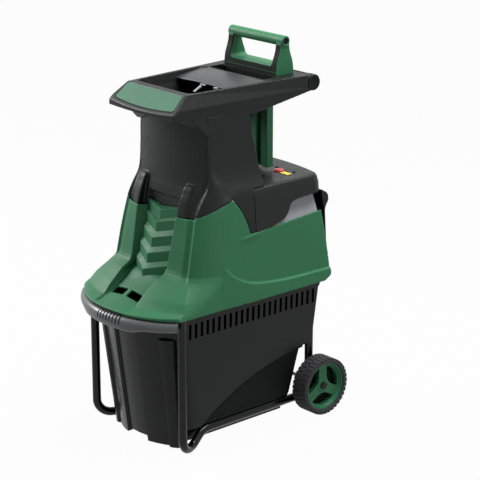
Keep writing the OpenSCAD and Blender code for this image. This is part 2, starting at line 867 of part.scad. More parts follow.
lip_z = 850;
crease_z = 872;
chamfer = 10;
plate_slope = [[-146, 908], [-191, 870]];
plate_low_x = 108;
plate_high_x = 101;
plate_edge = 6;
hopper_low = 800;
belly = [114, 842];
chin_z = 802;
mouth_front = 128;
hood_r = 285;
hood_front = 45;
hood_back = 150;
hood_top = rim_z - 2;
hood_t = 3;
hood_half = 104;
hood_edge = hood_top - hood_r + sqrt(pow(hood_r - hood_t, 2) - pow(hood_half, 2));
slot_front = blade_back - blade_depth - 3;
slot_back = blade_back + 3;
slot_half = blade_w / 2 + 3;
hopper_wall = 5;
handle_front = handle_back - handle_d / 2 - hopper_wall;

// Cross-section of the hopper at one place along Y
module hopper_section(y) {
    x = hopper_x(y);
    prism_y(y - 0.5, y + 0.5, [[-x + chamfer, rim_z], [x - chamfer, rim_z], [x, crease_z],
        [neck_w / 2 + 4, hopper_low], [-neck_w / 2 - 4, hopper_low], [-x, crease_z]]);
}

module hopper_outer() {
    top = plate_slope[0];
    low = plate_slope[1];
    intersection() {
        hull() {
            hopper_section(-hopper_front);
            hopper_section(handle_back);
        }
        prism_x(-hopper_back_w, hopper_back_w, [[-hopper_front, lip_z], [-hopper_front, low[1] - 6],
            [low[0], low[1]], [top[0], rim_z], [handle_back, rim_z],
                [handle_back, rim_z - handle_d / 2 - 14],
            belly, [-neck_front + 16, chin_z], [-neck_front - 20, lip_z - 4]]);
    }
}

// Hollows under the hopper's rear, which leave its top, sides and slot walls
module hopper_hollows() {
    half = neck_w / 2 - 10;
    low = hopper_low;
    prism_x(-half, half, [[neck_back + 18, low], [neck_back + 18, neck_top - 3],
        [hood_back - 25, hood_edge - 10],
        [hood_back, hood_edge - 10], [hood_back, low]]);
    both_sides() box([slot_half + hopper_wall, slot_front, low],
        [hopper_x(slot_front) - chamfer - hopper_wall, handle_front, rim_z - hopper_wall]);
    box([-slot_half, slot_back + hopper_wall, low], [slot_half, handle_front, rim_z - hopper_wall]);
}

module hopper() {
    mouth_x = hopper_x(-mouth_front) - chamfer - hopper_wall;
    throat_x = neck_w / 2 - neck_wall;
    color("#2f3234") difference() {
        hopper_outer();
        hull() {
            box([-mouth_x, -mouth_front, rim_z - 4], [mouth_x, hood_back, rim_z + 1]);
            box([-throat_x, -neck_front + 24, neck_top + 2], [throat_x, neck_back + 2, neck_top + 4]);
        }
        box([-hood_half - gap, hood_front, hood_edge - gap], [hood_half + gap, hood_back, rim_z + 1]);
        neck_outline(gap, hopper_low - 10, neck_top + gap);
        neck_outline(-neck_wall, hopper_low - 10, neck_top + 6);
        box([-slot_half, slot_front, hopper_low], [slot_half, slot_back, rim_z + 1]);
        rod_x(handle_back, handle_z, -hopper_back_w, hopper_back_w, handle_d + 2 * fit);
        plate_shape(fit, 3);
        hopper_hollows();
    }
}

// The sloping recess in the front lip, as wide at the bottom as the plate that fills it
module plate_shape(grow, deep) {
    top = plate_slope[0];
    low = plate_slope[1];
    run = norm(top - low);
    tilt = atan2(top[1] - low[1], top[0] - low[0]);
    translate([0, low[0], low[1]]) rotate([tilt, 0, 0]) translate([0, 0, -deep])
        linear_extrude(deep + (grow > 0 ? 20 : 0))
        polygon([[-plate_low_x - grow, plate_edge - grow], [plate_low_x + grow, plate_edge - grow],
            [plate_high_x + grow, run - plate_edge + grow],
            [-plate_high_x - grow, run - plate_edge + grow]]);
}

module hopper_plate() { color("#79b49a") plate_shape(0, 3); }

module hopper_hood() {
    color("#515457") intersection() {
        difference() {
            rod_y(0, hood_top - hood_r, hood_front, hood_back, 2 * hood_r);
            rod_y(0, hood_top - hood_r, hood_front - 1, hood_back + 1, 2 * (hood_r - hood_t));
        }
        box([-hood_half, hood_front, hood_top - 40], [hood_half, hood_back - gap, rim_z]);
    }
}

handle_z = rim_z - handle_d / 2;
handle_cap_t = 4;

module rear_handle() {
    half = hopper_back_w / 2 - 1;
    color("#2b2e2f") ring_handle(half);
}

module ring_handle(half) {
    difference() {
        rod_x(handle_back, handle_z, -half, half, handle_d);
        rod_x(handle_back, handle_z, -half - 1, half + 1, handle_d - 10);
    }
}

module handle_caps() {
    half = hopper_back_w / 2 - 1;
    color("#0c0d0d") both_sides() rod_x(handle_back, handle_z, half - handle_cap_t, half,
        handle_d - 10 - 2 * fit);
}

/* Feed plunger, parked in the slot behind the hopper's mouth */
plunger_low = deck_z + 8;
flange_z = rim_z + gap;
flange_t = 6;
flange_depth = 60;
blade_t = 5;
cheek_t = 6;
cheek_out = grip_l / 2 - 4;
flange_half = cheek_out - cheek_t / 2;
grip_wall = 5;

module plunger() {
    half = blade_w / 2;
    blade_front = blade_back - blade_depth;
    front = plunger_back - flange_depth / 2;
    back = plunger_back + flange_depth / 2;
    cheek = [[front, flange_z], [back, flange_z], [back - 6, flange_z + 34],
        [plunger_back + grip_d / 2 + 4, flange_z + 60], [plunger_back + 6, grip_z],
            [plunger_back - 6, grip_z],
        [plunger_back - grip_d / 2 - 4, flange_z + 60], [front + 6, flange_z + 34]];
    color("#2a6a4c") difference() {
        union() {
            box([-flange_half, front, flange_z], [flange_half, back, flange_z + flange_t]);
            both_sides() prism_x(cheek_out - cheek_t, cheek_out, cheek);
            box([-half, blade_front + 6, plunger_low], [half, blade_front + 6 + blade_t, flange_z + 1]);
            for (x = [-half, -half / 3, half / 3 - blade_t, half - blade_t])
                box([x, blade_front, plunger_low], [x + blade_t, blade_back, flange_z + 1]);
        }
        rod_x(plunger_back, grip_z, -grip_l, grip_l, grip_d + 2 * fit);
    }
}

module plunger_grip() {
    color("#2f7354") difference() {
        rod_x(plunger_back, grip_z, -grip_l / 2, grip_l / 2, grip_d);
        rod_x(plunger_back, grip_z, -grip_l, grip_l, grip_d - 2 * grip_wall);
    }
}

module grip_caps() {
    color("#0c0d0d") both_sides()
        rod_x(plunger_back, grip_z, grip_l / 2 - 5, grip_l / 2 - 2, grip_d - 2 * grip_wall - 2 * fit);
}

/* Switch box under the deck, with the stop and start buttons */
stop_place = [81, 188];
stop_d = 28;
start_place = [22, 198];
start_d = 22;
button_proud = 4;
button_h = 14;
switch_drop = 44;
screw_head = 9;
screw_shank = 4.5;
screw_places = [[53, 207], [117, 208], [92, 124], [-117, 208], [-92, 124]];
stem_d = 8;
stem_l = 28;
switch_wall = 3;
switch_margin = 10;

module button(d) {
    top = deck_z + button_proud;
    translate([0, 0, top - button_h]) cylinder(d = d, h = button_h);
    translate([0, 0, top - button_h - stem_l]) cylinder(d = stem_d, h = stem_l + 1);
}

module stop_button() { color("#c03a30") translate(stop_place) button(stop_d); }
module start_button() { color("#2f8a55") translate(start_place) button(start_d); }

module switch_box() {
    low = deck_z - deck_t - switch_drop;
    corner = [start_place[0] - start_d / 2 - switch_margin, stop_place[1] - stop_d / 2 - switch_margin];
    far = [stop_place[0] + stop_d / 2 + switch_margin, start_place[1] + start_d / 2 + switch_margin];
    color("#17191a") difference() {
        box([corner[0], corner[1], low], [far[0], far[1], deck_z - deck_t]);
        box([corner[0] + switch_wall, corner[1] + switch_wall, low + 4 * switch_wall],
            [far[0] - switch_wall, far[1] - switch_wall, deck_z]);
        for (p = [stop_place, start_place])
            translate([p[0], p[1], low + switch_wall])
                cylinder(d = stem_d + 2 * running, h = switch_drop);
    }
}

plate_place = [100, 174];
plate_size = [28, 16, 1];

module panel_plate() {
    color("#e3c84a") translate([plate_place[0], plate_place[1], deck_z]) cube(plate_size);
}

module cover_screws() {
    color("#141616") for (p = screw_places) translate([p[0], p[1], 0]) {
        translate([0, 0, deck_z]) cylinder(d = screw_head, h = 2);
        translate([0, 0, deck_z - 12]) cylinder(d = screw_shank, h = 13);
    }
}

/* Cutting chamber with its drum, pressure plate and adjuster */
shaft_d = 20;
bearing_d = 42;
bearing_w = 12;
drum_front = -20 - drum_l / 2;
drum_rear = -20 + drum_l / 2;
core_d = drum_d - 18;
knife_t = 12;
press_gap = 4;
press_t = 14;
press_h = 70;
press_face = drum_x - drum_d / 2 - press_gap;
adjuster_y = -20;
screw_d = 10;
screw_tip = press_face - press_t + 2;
nut_d = 20;
nut_l = 14;
knob_d = 50;
knob_t = 18;
knob_in = -side_x(drum_z - knob_d / 2) - 2;
bearing_front = cutter_low[1] - bearing_w + 2;

module cutter_housing() {
    color("#9a9da0") difference() {
        union() {
            box([cutter_low[0], cutter_low[1], plate_top], [cutter_high[0], cutter_high[1], cutter_top]);
            rod_y(drum_x, drum_z, bearing_front, cutter_low[1] + 1, bearing_d + 14);
        }
        box([cutter_low[0] + cutter_wall, cutter_low[1] + cutter_wall, plate_top - 1],
            [cutter_high[0] - cutter_wall, cutter_high[1] - cutter_wall, cutter_top + 1]);
        rod_y(drum_x, drum_z, bearing_front - 1, bearing_front + bearing_w, bearing_d + 2 * fit);
        rod_y(drum_x, drum_z, bearing_front - 1, cutter_high[1] + 1, shaft_d + 2);
        rod_x(adjuster_y, drum_z, cutter_low[0] - 1, cutter_low[0] + cutter_wall + 1,
            screw_d + 2 * running);
    }
}

module pressure_plate() {
    color("#b9bcbf") difference() {
        union() {
            box([press_face - press_t, drum_front, drum_z - press_h / 2],
                [press_face, drum_rear, drum_z + press_h / 2]);
            rod_x(adjuster_y, drum_z, press_face - press_t - nut_l, press_face - press_t + 1, nut_d);
        }
        rod_x(adjuster_y, drum_z, press_face - press_t - nut_l - 1, press_face - 6,
            screw_d + 2 * running);
    }
}

module adjuster_screw() {
    color("#8f9294") rod_x(adjuster_y, drum_z, knob_in - 4, screw_tip, screw_d);
}

module adjuster_knob() {
    color("#141616") difference() {
        union() {
            rod_x(adjuster_y, drum_z, knob_in - knob_t, knob_in, knob_d);
            for (i = [0:7]) translate([0, adjuster_y, drum_z]) rotate([i * 45, 0, 0])
                rod_x(knob_d / 2, 0, knob_in - knob_t, knob_in - 3, 7);
        }
        rod_x(adjuster_y, drum_z, knob_in - 4, knob_in + 1, screw_d + 2 * fit);
    }
}

module cutting_drum() {
    color("#7f8386") difference() {
        union() {
            rod_y(drum_x, drum_z, drum_front, drum_rear, core_d);
            for (i = [0:knife_count - 1]) translate([drum_x, 0, drum_z])
                rotate([0, i * 360 / knife_count, 0])
                prism_y(drum_front, drum_rear,
                    [[core_d / 2 - 4, -knife_t / 2], [drum_d / 2 - 3, -knife_t / 2],
                    [drum_d / 2 - 0.5, knife_t / 4], [core_d / 2 - 4, knife_t / 2]]);
        }
        rod_y(drum_x, drum_z, drum_front - 1, drum_rear + 1, shaft_d + 2 * fit);
    }
}

/* Gearbox behind the chamber: motor pinion, countershaft and drum gear */
counter_x = drum_x + gear_centres;
box_front = cutter_high[1];
box_wall = 6;
box_back = box_front + 44;
first_module = 2 * gear_centres / (motor_teeth + first_teeth);
second_module = 2 * gear_centres / (counter_teeth + drum_teeth);
tip_r = max(first_teeth * first_module, drum_teeth * second_module) / 2 + second_module;
box_r = tip_r + box_wall + 3;
second_y = [box_front + box_wall + 2, box_front + box_wall + 16];
first_y = [box_front + box_wall + 20, box_front + box_wall + 31];
counter_d = 14;
small_bearing_d = 28;
motor_shaft_d = 14;
cover_t = 8;
backlash = 0.3;
pressure_angle = 20;
addendum = 0.8;
dedendum = 1.05;

function involute_angle(r, base) = r <= base ? 0 : tan(acos(base / r)) * 180 / PI - acos(base / r);
// Half the angle of a tooth at a radius
function tooth_half(r, teeth, size) =
    let (pitch = teeth * size / 2, base = pitch * cos(pressure_angle))
    (PI * size / 2 - backlash / 2) / (2 * pitch) * 180 / PI + involute_angle(pitch,
        base) - involute_angle(r, base);
function polar(r, a) = [r * cos(a), r * sin(a)];

module gear_shape(teeth, size, turn) {
    pitch = teeth * size / 2;
    root = pitch - dedendum * size;
    start = max(root + 0.05, pitch * cos(pressure_angle));
    tip = pitch + addendum * size;
    radii = [start, pitch, tip];
    polygon([for (i = [0:teeth - 1]) let (mid = turn + i * 360 / teeth) each concat(
        [polar(root, mid - tooth_half(start, teeth, size))],
        [for (r = radii) polar(r, mid - tooth_half(r, teeth, size))],
        [for (k = [2:-1:0]) polar(radii[k], mid + tooth_half(radii[k], teeth, size))],
        [polar(root, mid + tooth_half(start, teeth, size))])]);
}

// A gear on a shaft along Y, between two places
module gear_y(x, span, teeth, size, turn, bore) {
    difference() {
        translate([x, span[0], drum_z]) rotate([-90, 0, 0]) linear_extrude(span[1] - span[0])
            gear_shape(teeth, size, turn);
        rod_y(x, drum_z, span[0] - 1, span[1] + 1, bore);
    }
}

module gearbox_block(i, y0, y1) {
    rod_y(drum_x, drum_z, y0, y1, 2 * (box_r - i));
    rod_y(counter_x, drum_z, y0, y1, 2 * (box_r - i));
    box([drum_x, y0, drum_z - box_r + i], [counter_x, y1, drum_z + box_r - i]);
}

module gearbox_housing() {
    color("#8d9194") difference() {
        gearbox_block(0, box_front, box_back);
        gearbox_block(box_wall, box_front + box_wall, box_back + 1);
        rod_y(drum_x, drum_z, box_front - 1, box_front + box_wall + 1, bearing_d + 2 * fit);
        rod_y(counter_x, drum_z, box_front + 1, box_front + box_wall + 1, small_bearing_d + 2 * fit);
    }
}

module gearbox_cover() {
    color("#8d9194") difference() {
        gearbox_block(0, box_back, box_back + cover_t);
        rod_y(drum_x, drum_z, box_back - 1, box_back + cover_t + 1, small_bearing_d + 2 * fit);
        rod_y(counter_x, drum_z, box_back - 1, box_back + cover_t - 1, small_bearing_d + 2 * fit);
    }
}

module drum_shaft() {
    color("#a9acae") rod_y(drum_x, drum_z, bearing_front + 1, second_y[1] + 1, shaft_d);
}

module drum_gear() {
    color("#6f7376") gear_y(drum_x, second_y, drum_teeth, second_module, 0, shaft_d + 2 * fit);
}

module drum_bearings() {
    color("#c4c6c8") {
        ring_y(drum_x, drum_z, bearing_front, bearing_front + bearing_w, bearing_d,
            shaft_d + 2 * running);
        ring_y(drum_x, drum_z, box_front, box_front + box_wall, bearing_d, shaft_d + 2 * running);
    }
}

module countershaft() {
    color("#6f7376") {
        rod_y(counter_x, drum_z, box_front + 1.5, box_back + cover_t - 1.5, counter_d);
        gear_y(counter_x, [second_y[0] - 0.5, second_y[1] + 0.5], counter_teeth, second_module,
            180 / counter_teeth, 6);
        gear_y(counter_x, first_y, first_teeth, first_module, 180 / first_teeth, counter_d - 1);
    }
}

module counter_bearings() {
    color("#c4c6c8") {
        ring_y(counter_x, drum_z, box_front + 1, box_front + box_wall, small_bearing_d,
            counter_d + 2 * running);
        ring_y(counter_x, drum_z, box_back, box_back + cover_t - 1, small_bearing_d,
            counter_d + 2 * running);
    }
}

/* Motor behind the gearbox */
motor_front = box_back + cover_t;
motor_back = motor_front + motor_l;
motor_wall = 5;
stator_in = 72;
air_gap = 0.7;
rotor_d = stator_in - 2 * air_gap;
core_front = motor_front + 16;
core_back = motor_back - 18;
winding_d = 98;
winding_in = 80;
shield_t = 8;
fan_d = 96;
fan_t = 12;
fan_front = motor_back + shield_t + 4;
blade_count = 8;
foot_w = 70;

module motor_housing() {
    color("#55595c") difference() {
        union() {
            rod_y(drum_x, drum_z, motor_front, motor_back + shield_t, motor_d);
            box([drum_x - foot_w / 2, motor_front + 4, plate_top],
                [drum_x + foot_w / 2, motor_back - 4, drum_z - motor_d / 2 + 12]);
        }
        rod_y(drum_x, drum_z, motor_front - 1, motor_back, motor_d - 2 * motor_wall);
        rod_y(drum_x, drum_z, motor_back - 1, motor_back + shield_t + 1, small_bearing_d + 2 * fit);
        box([drum_x - foot_w / 2 + 8, motor_front + 3, plate_top + 8],
            [drum_x + foot_w / 2 - 8, motor_back - 3, drum_z - motor_d / 2 - 4]);
    }
}

module stator() {
    color("#b36a3a") {
        ring_y(drum_x, drum_z, core_front, core_back, motor_d - 2 * motor_wall - 2 * fit, stator_in);
        ring_y(drum_x, drum_z, core_front - 10, core_front + 1, winding_d, winding_in);
        ring_y(drum_x, drum_z, core_back - 1, core_back + 10, winding_d, winding_in);
    }
}

module rotor() {
    color("#7b7f82") {
        rod_y(drum_x, drum_z, core_front, core_back, rotor_d);
        rod_y(drum_x, drum_z, second_y[1] + 2, fan_front + fan_t, motor_shaft_d);
        gear_y(drum_x, [first_y[0] - 0.5, first_y[1] + 0.5], motor_teeth, first_module, 0, 6);
    }
}

module motor_bearings() {
    color("#c4c6c8") {
        ring_y(drum_x, drum_z, box_back, motor_front, small_bearing_d, motor_shaft_d + 2 * running);
        ring_y(drum_x, drum_z, motor_back, motor_back + shield_t, small_bearing_d,
            motor_shaft_d + 2 * running);
    }
}

module motor_fan() {
    color("#202324") difference() {
        union() {
            rod_y(drum_x, drum_z, fan_front, fan_front + fan_t, 30);
            rod_y(drum_x, drum_z, fan_front, fan_front + 2, fan_d);
            for (i = [0:blade_count - 1]) translate([drum_x, 0, drum_z])
                rotate([0, i * 360 / blade_count, 0])
                box([10, fan_front + 1, -1], [fan_d / 2, fan_front + fan_t, 1]);
        }
        rod_y(drum_x, drum_z, fan_front - 1, fan_front + fan_t + 1, motor_shaft_d + 2 * fit);
    }
}

capacitor_d = 40;
capacitor_l = 82;

module run_capacitor() {
    x = drum_x - motor_d / 2 - capacitor_d;
    color("#d8d8d4") {
        translate([x, motor_front + 10, plate_top + 4 + capacitor_d / 2]) rotate([-90, 0, 0])
            cylinder(d = capacitor_d, h = capacitor_l);
        box([x - 12, motor_front + 30, plate_top], [x + 12, motor_front + 60, plate_top + 10]);
    }
}

frame_left();
frame_right();
axle();
axle_spacers();
axle_caps();
tyre_left();
rim_left();
bush_left();
tyre_right();
rim_right();
bush_right();
collecting_bin();
bin_handle();
bin_lock();
lock_guide();
base_plate();
front_cover();
louvre_panel();
side_panel_left();
side_panel_right();
upper_housing();
motor_cover();
vent_panel_left();
vent_panel_right();
rear_cover();
mains_inlet();
inlet_pins();
feed_neck();
feed_throat();
hopper();
hopper_plate();
hopper_hood();
rear_handle();
handle_caps();
plunger();
plunger_grip();
grip_caps();
switch_box();
stop_button();
start_button();
panel_plate();
cover_screws();
cutter_housing();
pressure_plate();
adjuster_screw();
adjuster_knob();
cutting_drum();
drum_shaft();
drum_gear();
drum_bearings();
gearbox_housing();
gearbox_cover();
countershaft();
counter_bearings();
motor_housing();
stator();
rotor();
motor_bearings();
motor_fan();
run_capacitor();
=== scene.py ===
"""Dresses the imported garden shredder: moulded shells, finishes, studio light and camera."""
import logging
import math
from dataclasses import dataclass
from enum import Enum
from typing import Iterable, Sequence

import bpy
from mathutils import Matrix, Vector


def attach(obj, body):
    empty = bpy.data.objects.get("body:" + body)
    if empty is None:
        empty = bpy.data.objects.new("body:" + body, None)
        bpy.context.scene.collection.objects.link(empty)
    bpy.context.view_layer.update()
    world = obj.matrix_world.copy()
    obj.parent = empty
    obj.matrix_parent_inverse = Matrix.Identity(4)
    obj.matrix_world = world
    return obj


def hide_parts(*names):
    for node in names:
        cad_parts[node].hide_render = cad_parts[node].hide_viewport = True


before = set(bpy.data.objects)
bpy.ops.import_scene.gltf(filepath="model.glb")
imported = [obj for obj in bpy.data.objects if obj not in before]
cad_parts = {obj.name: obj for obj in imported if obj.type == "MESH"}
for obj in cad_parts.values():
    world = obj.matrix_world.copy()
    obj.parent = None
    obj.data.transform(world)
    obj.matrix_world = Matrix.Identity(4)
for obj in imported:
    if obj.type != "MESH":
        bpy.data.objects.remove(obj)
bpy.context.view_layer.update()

log = logging.getLogger("shredder")
MM = 0.001
Flat = tuple[float, float]
Place = tuple[float, float, float]


class Axis(Enum):
    """A direction of the part's frame, with the plane that an outline across it lies in."""

    X = 0
    Y = 1
    Z = 2

    def place(self, a: float, b: float, along: float) -> Place:
        """Puts an outline's point at a place along the axis.

        Args:
            a: First number of the point, along the first other axis.
            b: Second number of the point, along the second other axis.
            along: Place along this axis.

        Returns:
            The point in the part's frame.
        """
        return {Axis.X: (along, a, b), Axis.Y: (a, along, b), Axis.Z: (a, b, along)}[self]

    def unit(self) -> Vector:
        """Gives the axis as a vector."""
        return Vector(self.place(0.0, 0.0, 1.0))


def linear(red: int, green: int, blue: int) -> tuple[float, float, float, float]:
    """Turns a colour as seen on a screen into the renderer's linear numbers.

    Args:
        red: Red from 0 to 255.
        green: Green from 0 to 255.
        blue: Blue from 0 to 255.

    Returns:
        Linear red, green and blue, with an alpha of 1.
    """
    def one(value: int) -> float:
        """Turns one channel."""
        share = value / 255
        return share / 12.92 if share <= 0.04045 else ((share + 0.055) / 1.055) ** 2.4

    return (one(red), one(green), one(blue), 1.0)


def flowing(points: Sequence[Flat], steps: int = 6) -> list[Flat]:
    """Lays a smooth curve through points.

    Args:
        points: Points that the curve passes.
        steps: Stretches between two points.

    Returns:
        Points along the curve, with both ends.
    """
    ends = [points[0], *points, points[-1]]
    out: list[Flat] = []
    for p0, p1, p2, p3 in zip(ends, ends[1:], ends[2:], ends[3:]):
        for k in range(steps):
            t = k / steps
            out.append(tuple(0.5 * (2 * b + (c - a) * t + (2 * a - 5 * b + 4 * c - d) * t * t
                                    + (3 * b - a - 3 * c + d) * t ** 3)
                             for a, b, c, d in zip(p0, p1, p2, p3)))
    out.append(tuple(points[-1]))
    return out


def rounded_box(low: Flat, high: Flat, radius: float, steps: int = 5) -> list[Flat]:
    """Draws a rectangle with round corners.

    Args:
        low: Lowest corner.
        high: Highest corner.
        radius: Radius of the corners.
        steps: Stretches in a corner.

    Returns:
        The outline's points.
    """
    centres = [(high[0] - radius, high[1] - radius), (low[0] + radius, high[1] - radius),
               (low[0] + radius, low[1] + radius), (high[0] - radius, low[1] + radius)]
    out = []
    for quarter, (x, y) in enumerate(centres):
        for k in range(steps + 1):
            turn = math.pi / 2 * (quarter + k / steps)
            out.append((x + radius * math.cos(turn), y + radius * math.sin(turn)))
    return out


class Workpiece:
    """One mesh in hand, shaped with modelling operators. Its sizes are in millimetres."""

    def __init__(self, obj: bpy.types.Object) -> None:
        """Takes up an object."""
        self.obj = obj

    @staticmethod
    def _clear() -> None:
        """Deselects everything."""
        bpy.ops.object.select_all(action="DESELECT")

    @classmethod
    def _added(cls) -> "Workpiece":
        """Takes up the primitive that was just added, with its place put into its mesh."""
        bpy.ops.object.transform_apply(location=True, rotation=True, scale=True)
        return cls(bpy.context.active_object)

    @classmethod
    def stock(cls, low: Place, high: Place) -> "Workpiece":
        """Starts from a block.

        Args:
            low: Lowest corner.
            high: Highest corner.

        Returns:
            The block.
        """
        cls._clear()
        middle = [(a + b) / 2 * MM for a, b in zip(low, high)]
        bpy.ops.mesh.primitive_cube_add(size=1.0, location=middle)
        bpy.context.active_object.scale = [(b - a) * MM for a, b in zip(low, high)]
        return cls._added()

    @classmethod
    def rod(cls, start: Place, end: Place, diameter: float, sides: int = 64) -> "Workpiece":
        """Starts from a round rod.

        Args:
            start: Centre of one end.
            end: Centre of the other end.
            diameter: Diameter of the rod.
            sides: Sides of the rod.

        Returns:
            The rod.
        """
        cls._clear()
        a, b = Vector(start) * MM, Vector(end) * MM
        turn = (b - a).to_track_quat("Z", "Y").to_euler()
        bpy.ops.mesh.primitive_cylinder_add(vertices=sides, radius=diameter / 2 * MM,
                                            depth=(b - a).length, location=(a + b) / 2, rotation=turn)
        return cls._added()

    @classmethod
    def prism(cls, axis: Axis, low: float, high: float, outline: Sequence[Flat]) -> "Workpiece":
        """Extrudes an outline along an axis.

        Args:
            axis: Axis to extrude along.
            low: Where the solid starts.
            high: Where the solid ends.
            outline: The outline's points.

        Returns:
            The solid.
        """
        return cls.loft([[axis.place(a, b, along) for a, b in outline] for along in (low, high)])

    @classmethod
    def loft(cls, rings: Sequence[Sequence[Place]]) -> "Workpiece":
        """Extrudes a filled outline from ring to ring.

        Args:
            rings: Rings of as many points each.

        Returns:
            The closed solid.
        """
        cls._clear()
        bpy.ops.mesh.primitive_circle_add(vertices=len(rings[0]), radius=1.0, fill_type="NGON")
        piece = cls._added()
        for vertex, point in zip(piece.obj.data.vertices, rings[0]):
            vertex.co = Vector(point) * MM
        for before, after in zip(rings, rings[1:]):
            bpy.ops.object.mode_set(mode="EDIT")
            if before is rings[0]:
                bpy.ops.mesh.select_all(action="SELECT")
            bpy.ops.mesh.extrude_region_move(TRANSFORM_OT_translate={"value": (0.0, 0.0, 0.0)})
            bpy.ops.object.mode_set(mode="OBJECT")
            old = [Vector(p) * MM for p in before]
            for vertex in piece.obj.data.vertices:
                if vertex.select:
                    nearest = min(range(len(old)), key=lambda k: (old[k] - vertex.co).length_squared)
                    vertex.co = Vector(after[nearest]) * MM
        return piece.outwards()

    @classmethod
    def turned(cls, axis: Axis, centre: Place, profile: Sequence[Flat], steps: int = 72) -> "Workpiece":
        """Spins a closed profile around an axis.

        Args:
            axis: Axis to spin around.
            centre: A point on the axis.
            profile: Places along the axis with their radii.
            steps: Steps of the full turn.

        Returns:
            The turned solid.
        """
        cls._clear()
        bpy.ops.mesh.primitive_circle_add(vertices=len(profile), radius=1.0, fill_type="NOTHING")
        piece = cls._added()
        hub = Vector(centre) * MM
        out = Vector(Axis((axis.value + 1) % 3).unit())
        for vertex, (along, radius) in zip(piece.obj.data.vertices, profile):
            vertex.co = hub + axis.unit() * (along - centre[axis.value]) * MM + out * radius * MM
        bpy.ops.object.mode_set(mode="EDIT")
        bpy.ops.mesh.select_all(action="SELECT")
        bpy.ops.mesh.spin(steps=steps, angle=2 * math.pi, center=hub, axis=axis.unit())
        bpy.ops.mesh.select_all(action="SELECT")
        bpy.ops.mesh.remove_doubles(threshold=1e-6)
        bpy.ops.object.mode_set(mode="OBJECT")
        return piece.outwards()

    def hold(self) -> None:
        """Makes this the one selected and active object."""
        self._clear()
        self.obj.select_set(True)
        bpy.context.view_layer.objects.active = self.obj

    def outwards(self) -> "Workpiece":
        """Points the faces outwards."""
        self.hold()
        bpy.ops.object.mode_set(mode="EDIT")
        bpy.ops.mesh.select_all(action="SELECT")
        bpy.ops.mesh.normals_make_consistent(inside=False)
        bpy.ops.object.mode_set(mode="OBJECT")
        return self

    def _apply(self, kind: str, **settings: object) -> "Workpiece":
        """Adds a modifier and applies it.

        Args:
            kind: The modifier's type.
            **settings: Its settings.

        Returns:
            This piece.
        """
        self.hold()
        modifier = self.obj.modifiers.new("step", kind)
        for name, value in settings.items():
            setattr(modifier, name, value)
        bpy.ops.object.modifier_apply(modifier=modifier.name)
        return self

    def _combine(self, others: Iterable["Workpiece"], operation: str) -> "Workpiece":
        """Combines this with other pieces, which are used up.

        Args:
            others: The other pieces.
            operation: Name of the boolean operation.

        Returns:
            This piece.
        """
        for other in others:
            self._apply("BOOLEAN", operation=operation, solver="EXACT", object=other.obj)
            bpy.data.objects.remove(other.obj)
        return self

    def cut(self, *others: "Workpiece") -> "Workpiece":
        """Takes other pieces away from this one."""
        return self._combine(others, "DIFFERENCE")

    def fuse(self, *others: "Workpiece") -> "Workpiece":
        """Fuses other pieces with this one."""
        return self._combine(others, "UNION")

    def common(self, *others: "Workpiece") -> "Workpiece":
        """Keeps what this shares with other pieces."""
        return self._combine(others, "INTERSECT")

    def gather(self, *others: "Workpiece") -> "Workpiece":
        """Joins other meshes to this one as they are."""
        self._clear()
        for piece in (*others, self):
            piece.obj.select_set(True)
        bpy.context.view_layer.objects.active = self.obj
        bpy.ops.object.join()
        return self

    def turn(self, axis: Axis, degrees: float, centre: Place) -> "Workpiece":
        """Turns the piece around a line.

        Args:
            axis: Direction of the line.
            degrees: Angle to turn by.
            centre: A point on the line.

        Returns:
            This piece.
        """
        hub = Vector(centre) * MM
        spin = Matrix.Rotation(math.radians(degrees), 4, axis.unit())
        self.hold()
        self.obj.matrix_world = Matrix.Translation(hub) @ spin @ Matrix.Translation(-hub)
        bpy.ops.object.transform_apply(location=True, rotation=True, scale=True)
        return self

    def shift(self, step: Place) -> "Workpiece":
        """Moves the piece by a step."""
        self.hold()
        self.obj.location = Vector(step) * MM
        bpy.ops.object.transform_apply(location=True, rotation=True, scale=True)
        return self

    def copy(self) -> "Workpiece":
        """Copies the piece with a mesh of its own."""
        twin = self.obj.copy()
        twin.data = self.obj.data.copy()
        bpy.context.scene.collection.objects.link(twin)
        return Workpiece(twin)

    def flip(self) -> "Workpiece":
        """Moves the piece to the other side of the part."""
        self.hold()
        self.obj.scale = (-1.0, 1.0, 1.0)
        bpy.ops.object.transform_apply(location=True, rotation=True, scale=True)
        return self.outwards()

    def mirrored(self) -> "Workpiece":
        """Copies the piece to the other side of the part."""
        return self.copy().flip()

    def round_edges(self, width: float, segments: int = 3, angle: float = 35.0) -> "Workpiece":
        """Rounds the edges that are sharper than an angle.

        Args:
            width: Width of the rounding.
            segments: Faces across it.
            angle: Least angle between two faces, in degrees.

        Returns:
            This piece.
        """
        return self._apply("BEVEL", width=width * MM, segments=segments, limit_method="ANGLE",
                           angle_limit=math.radians(angle), use_clamp_overlap=True)

    def soften(self, voxel: float, passes: int, keep: float = 0.5) -> "Workpiece":
        """Melts edges and corners into each other, as on a moulded shell.

        Args:
            voxel: Size of the remeshing grid.
            passes: Smoothing passes.
            keep: Share of the faces to keep.

        Returns:
            This piece.
        """
        self._apply("REMESH", mode="VOXEL", voxel_size=voxel * MM)
        self._apply("SMOOTH", factor=0.5, iterations=passes)
        return self._apply("DECIMATE", decimate_type="COLLAPSE", ratio=keep)

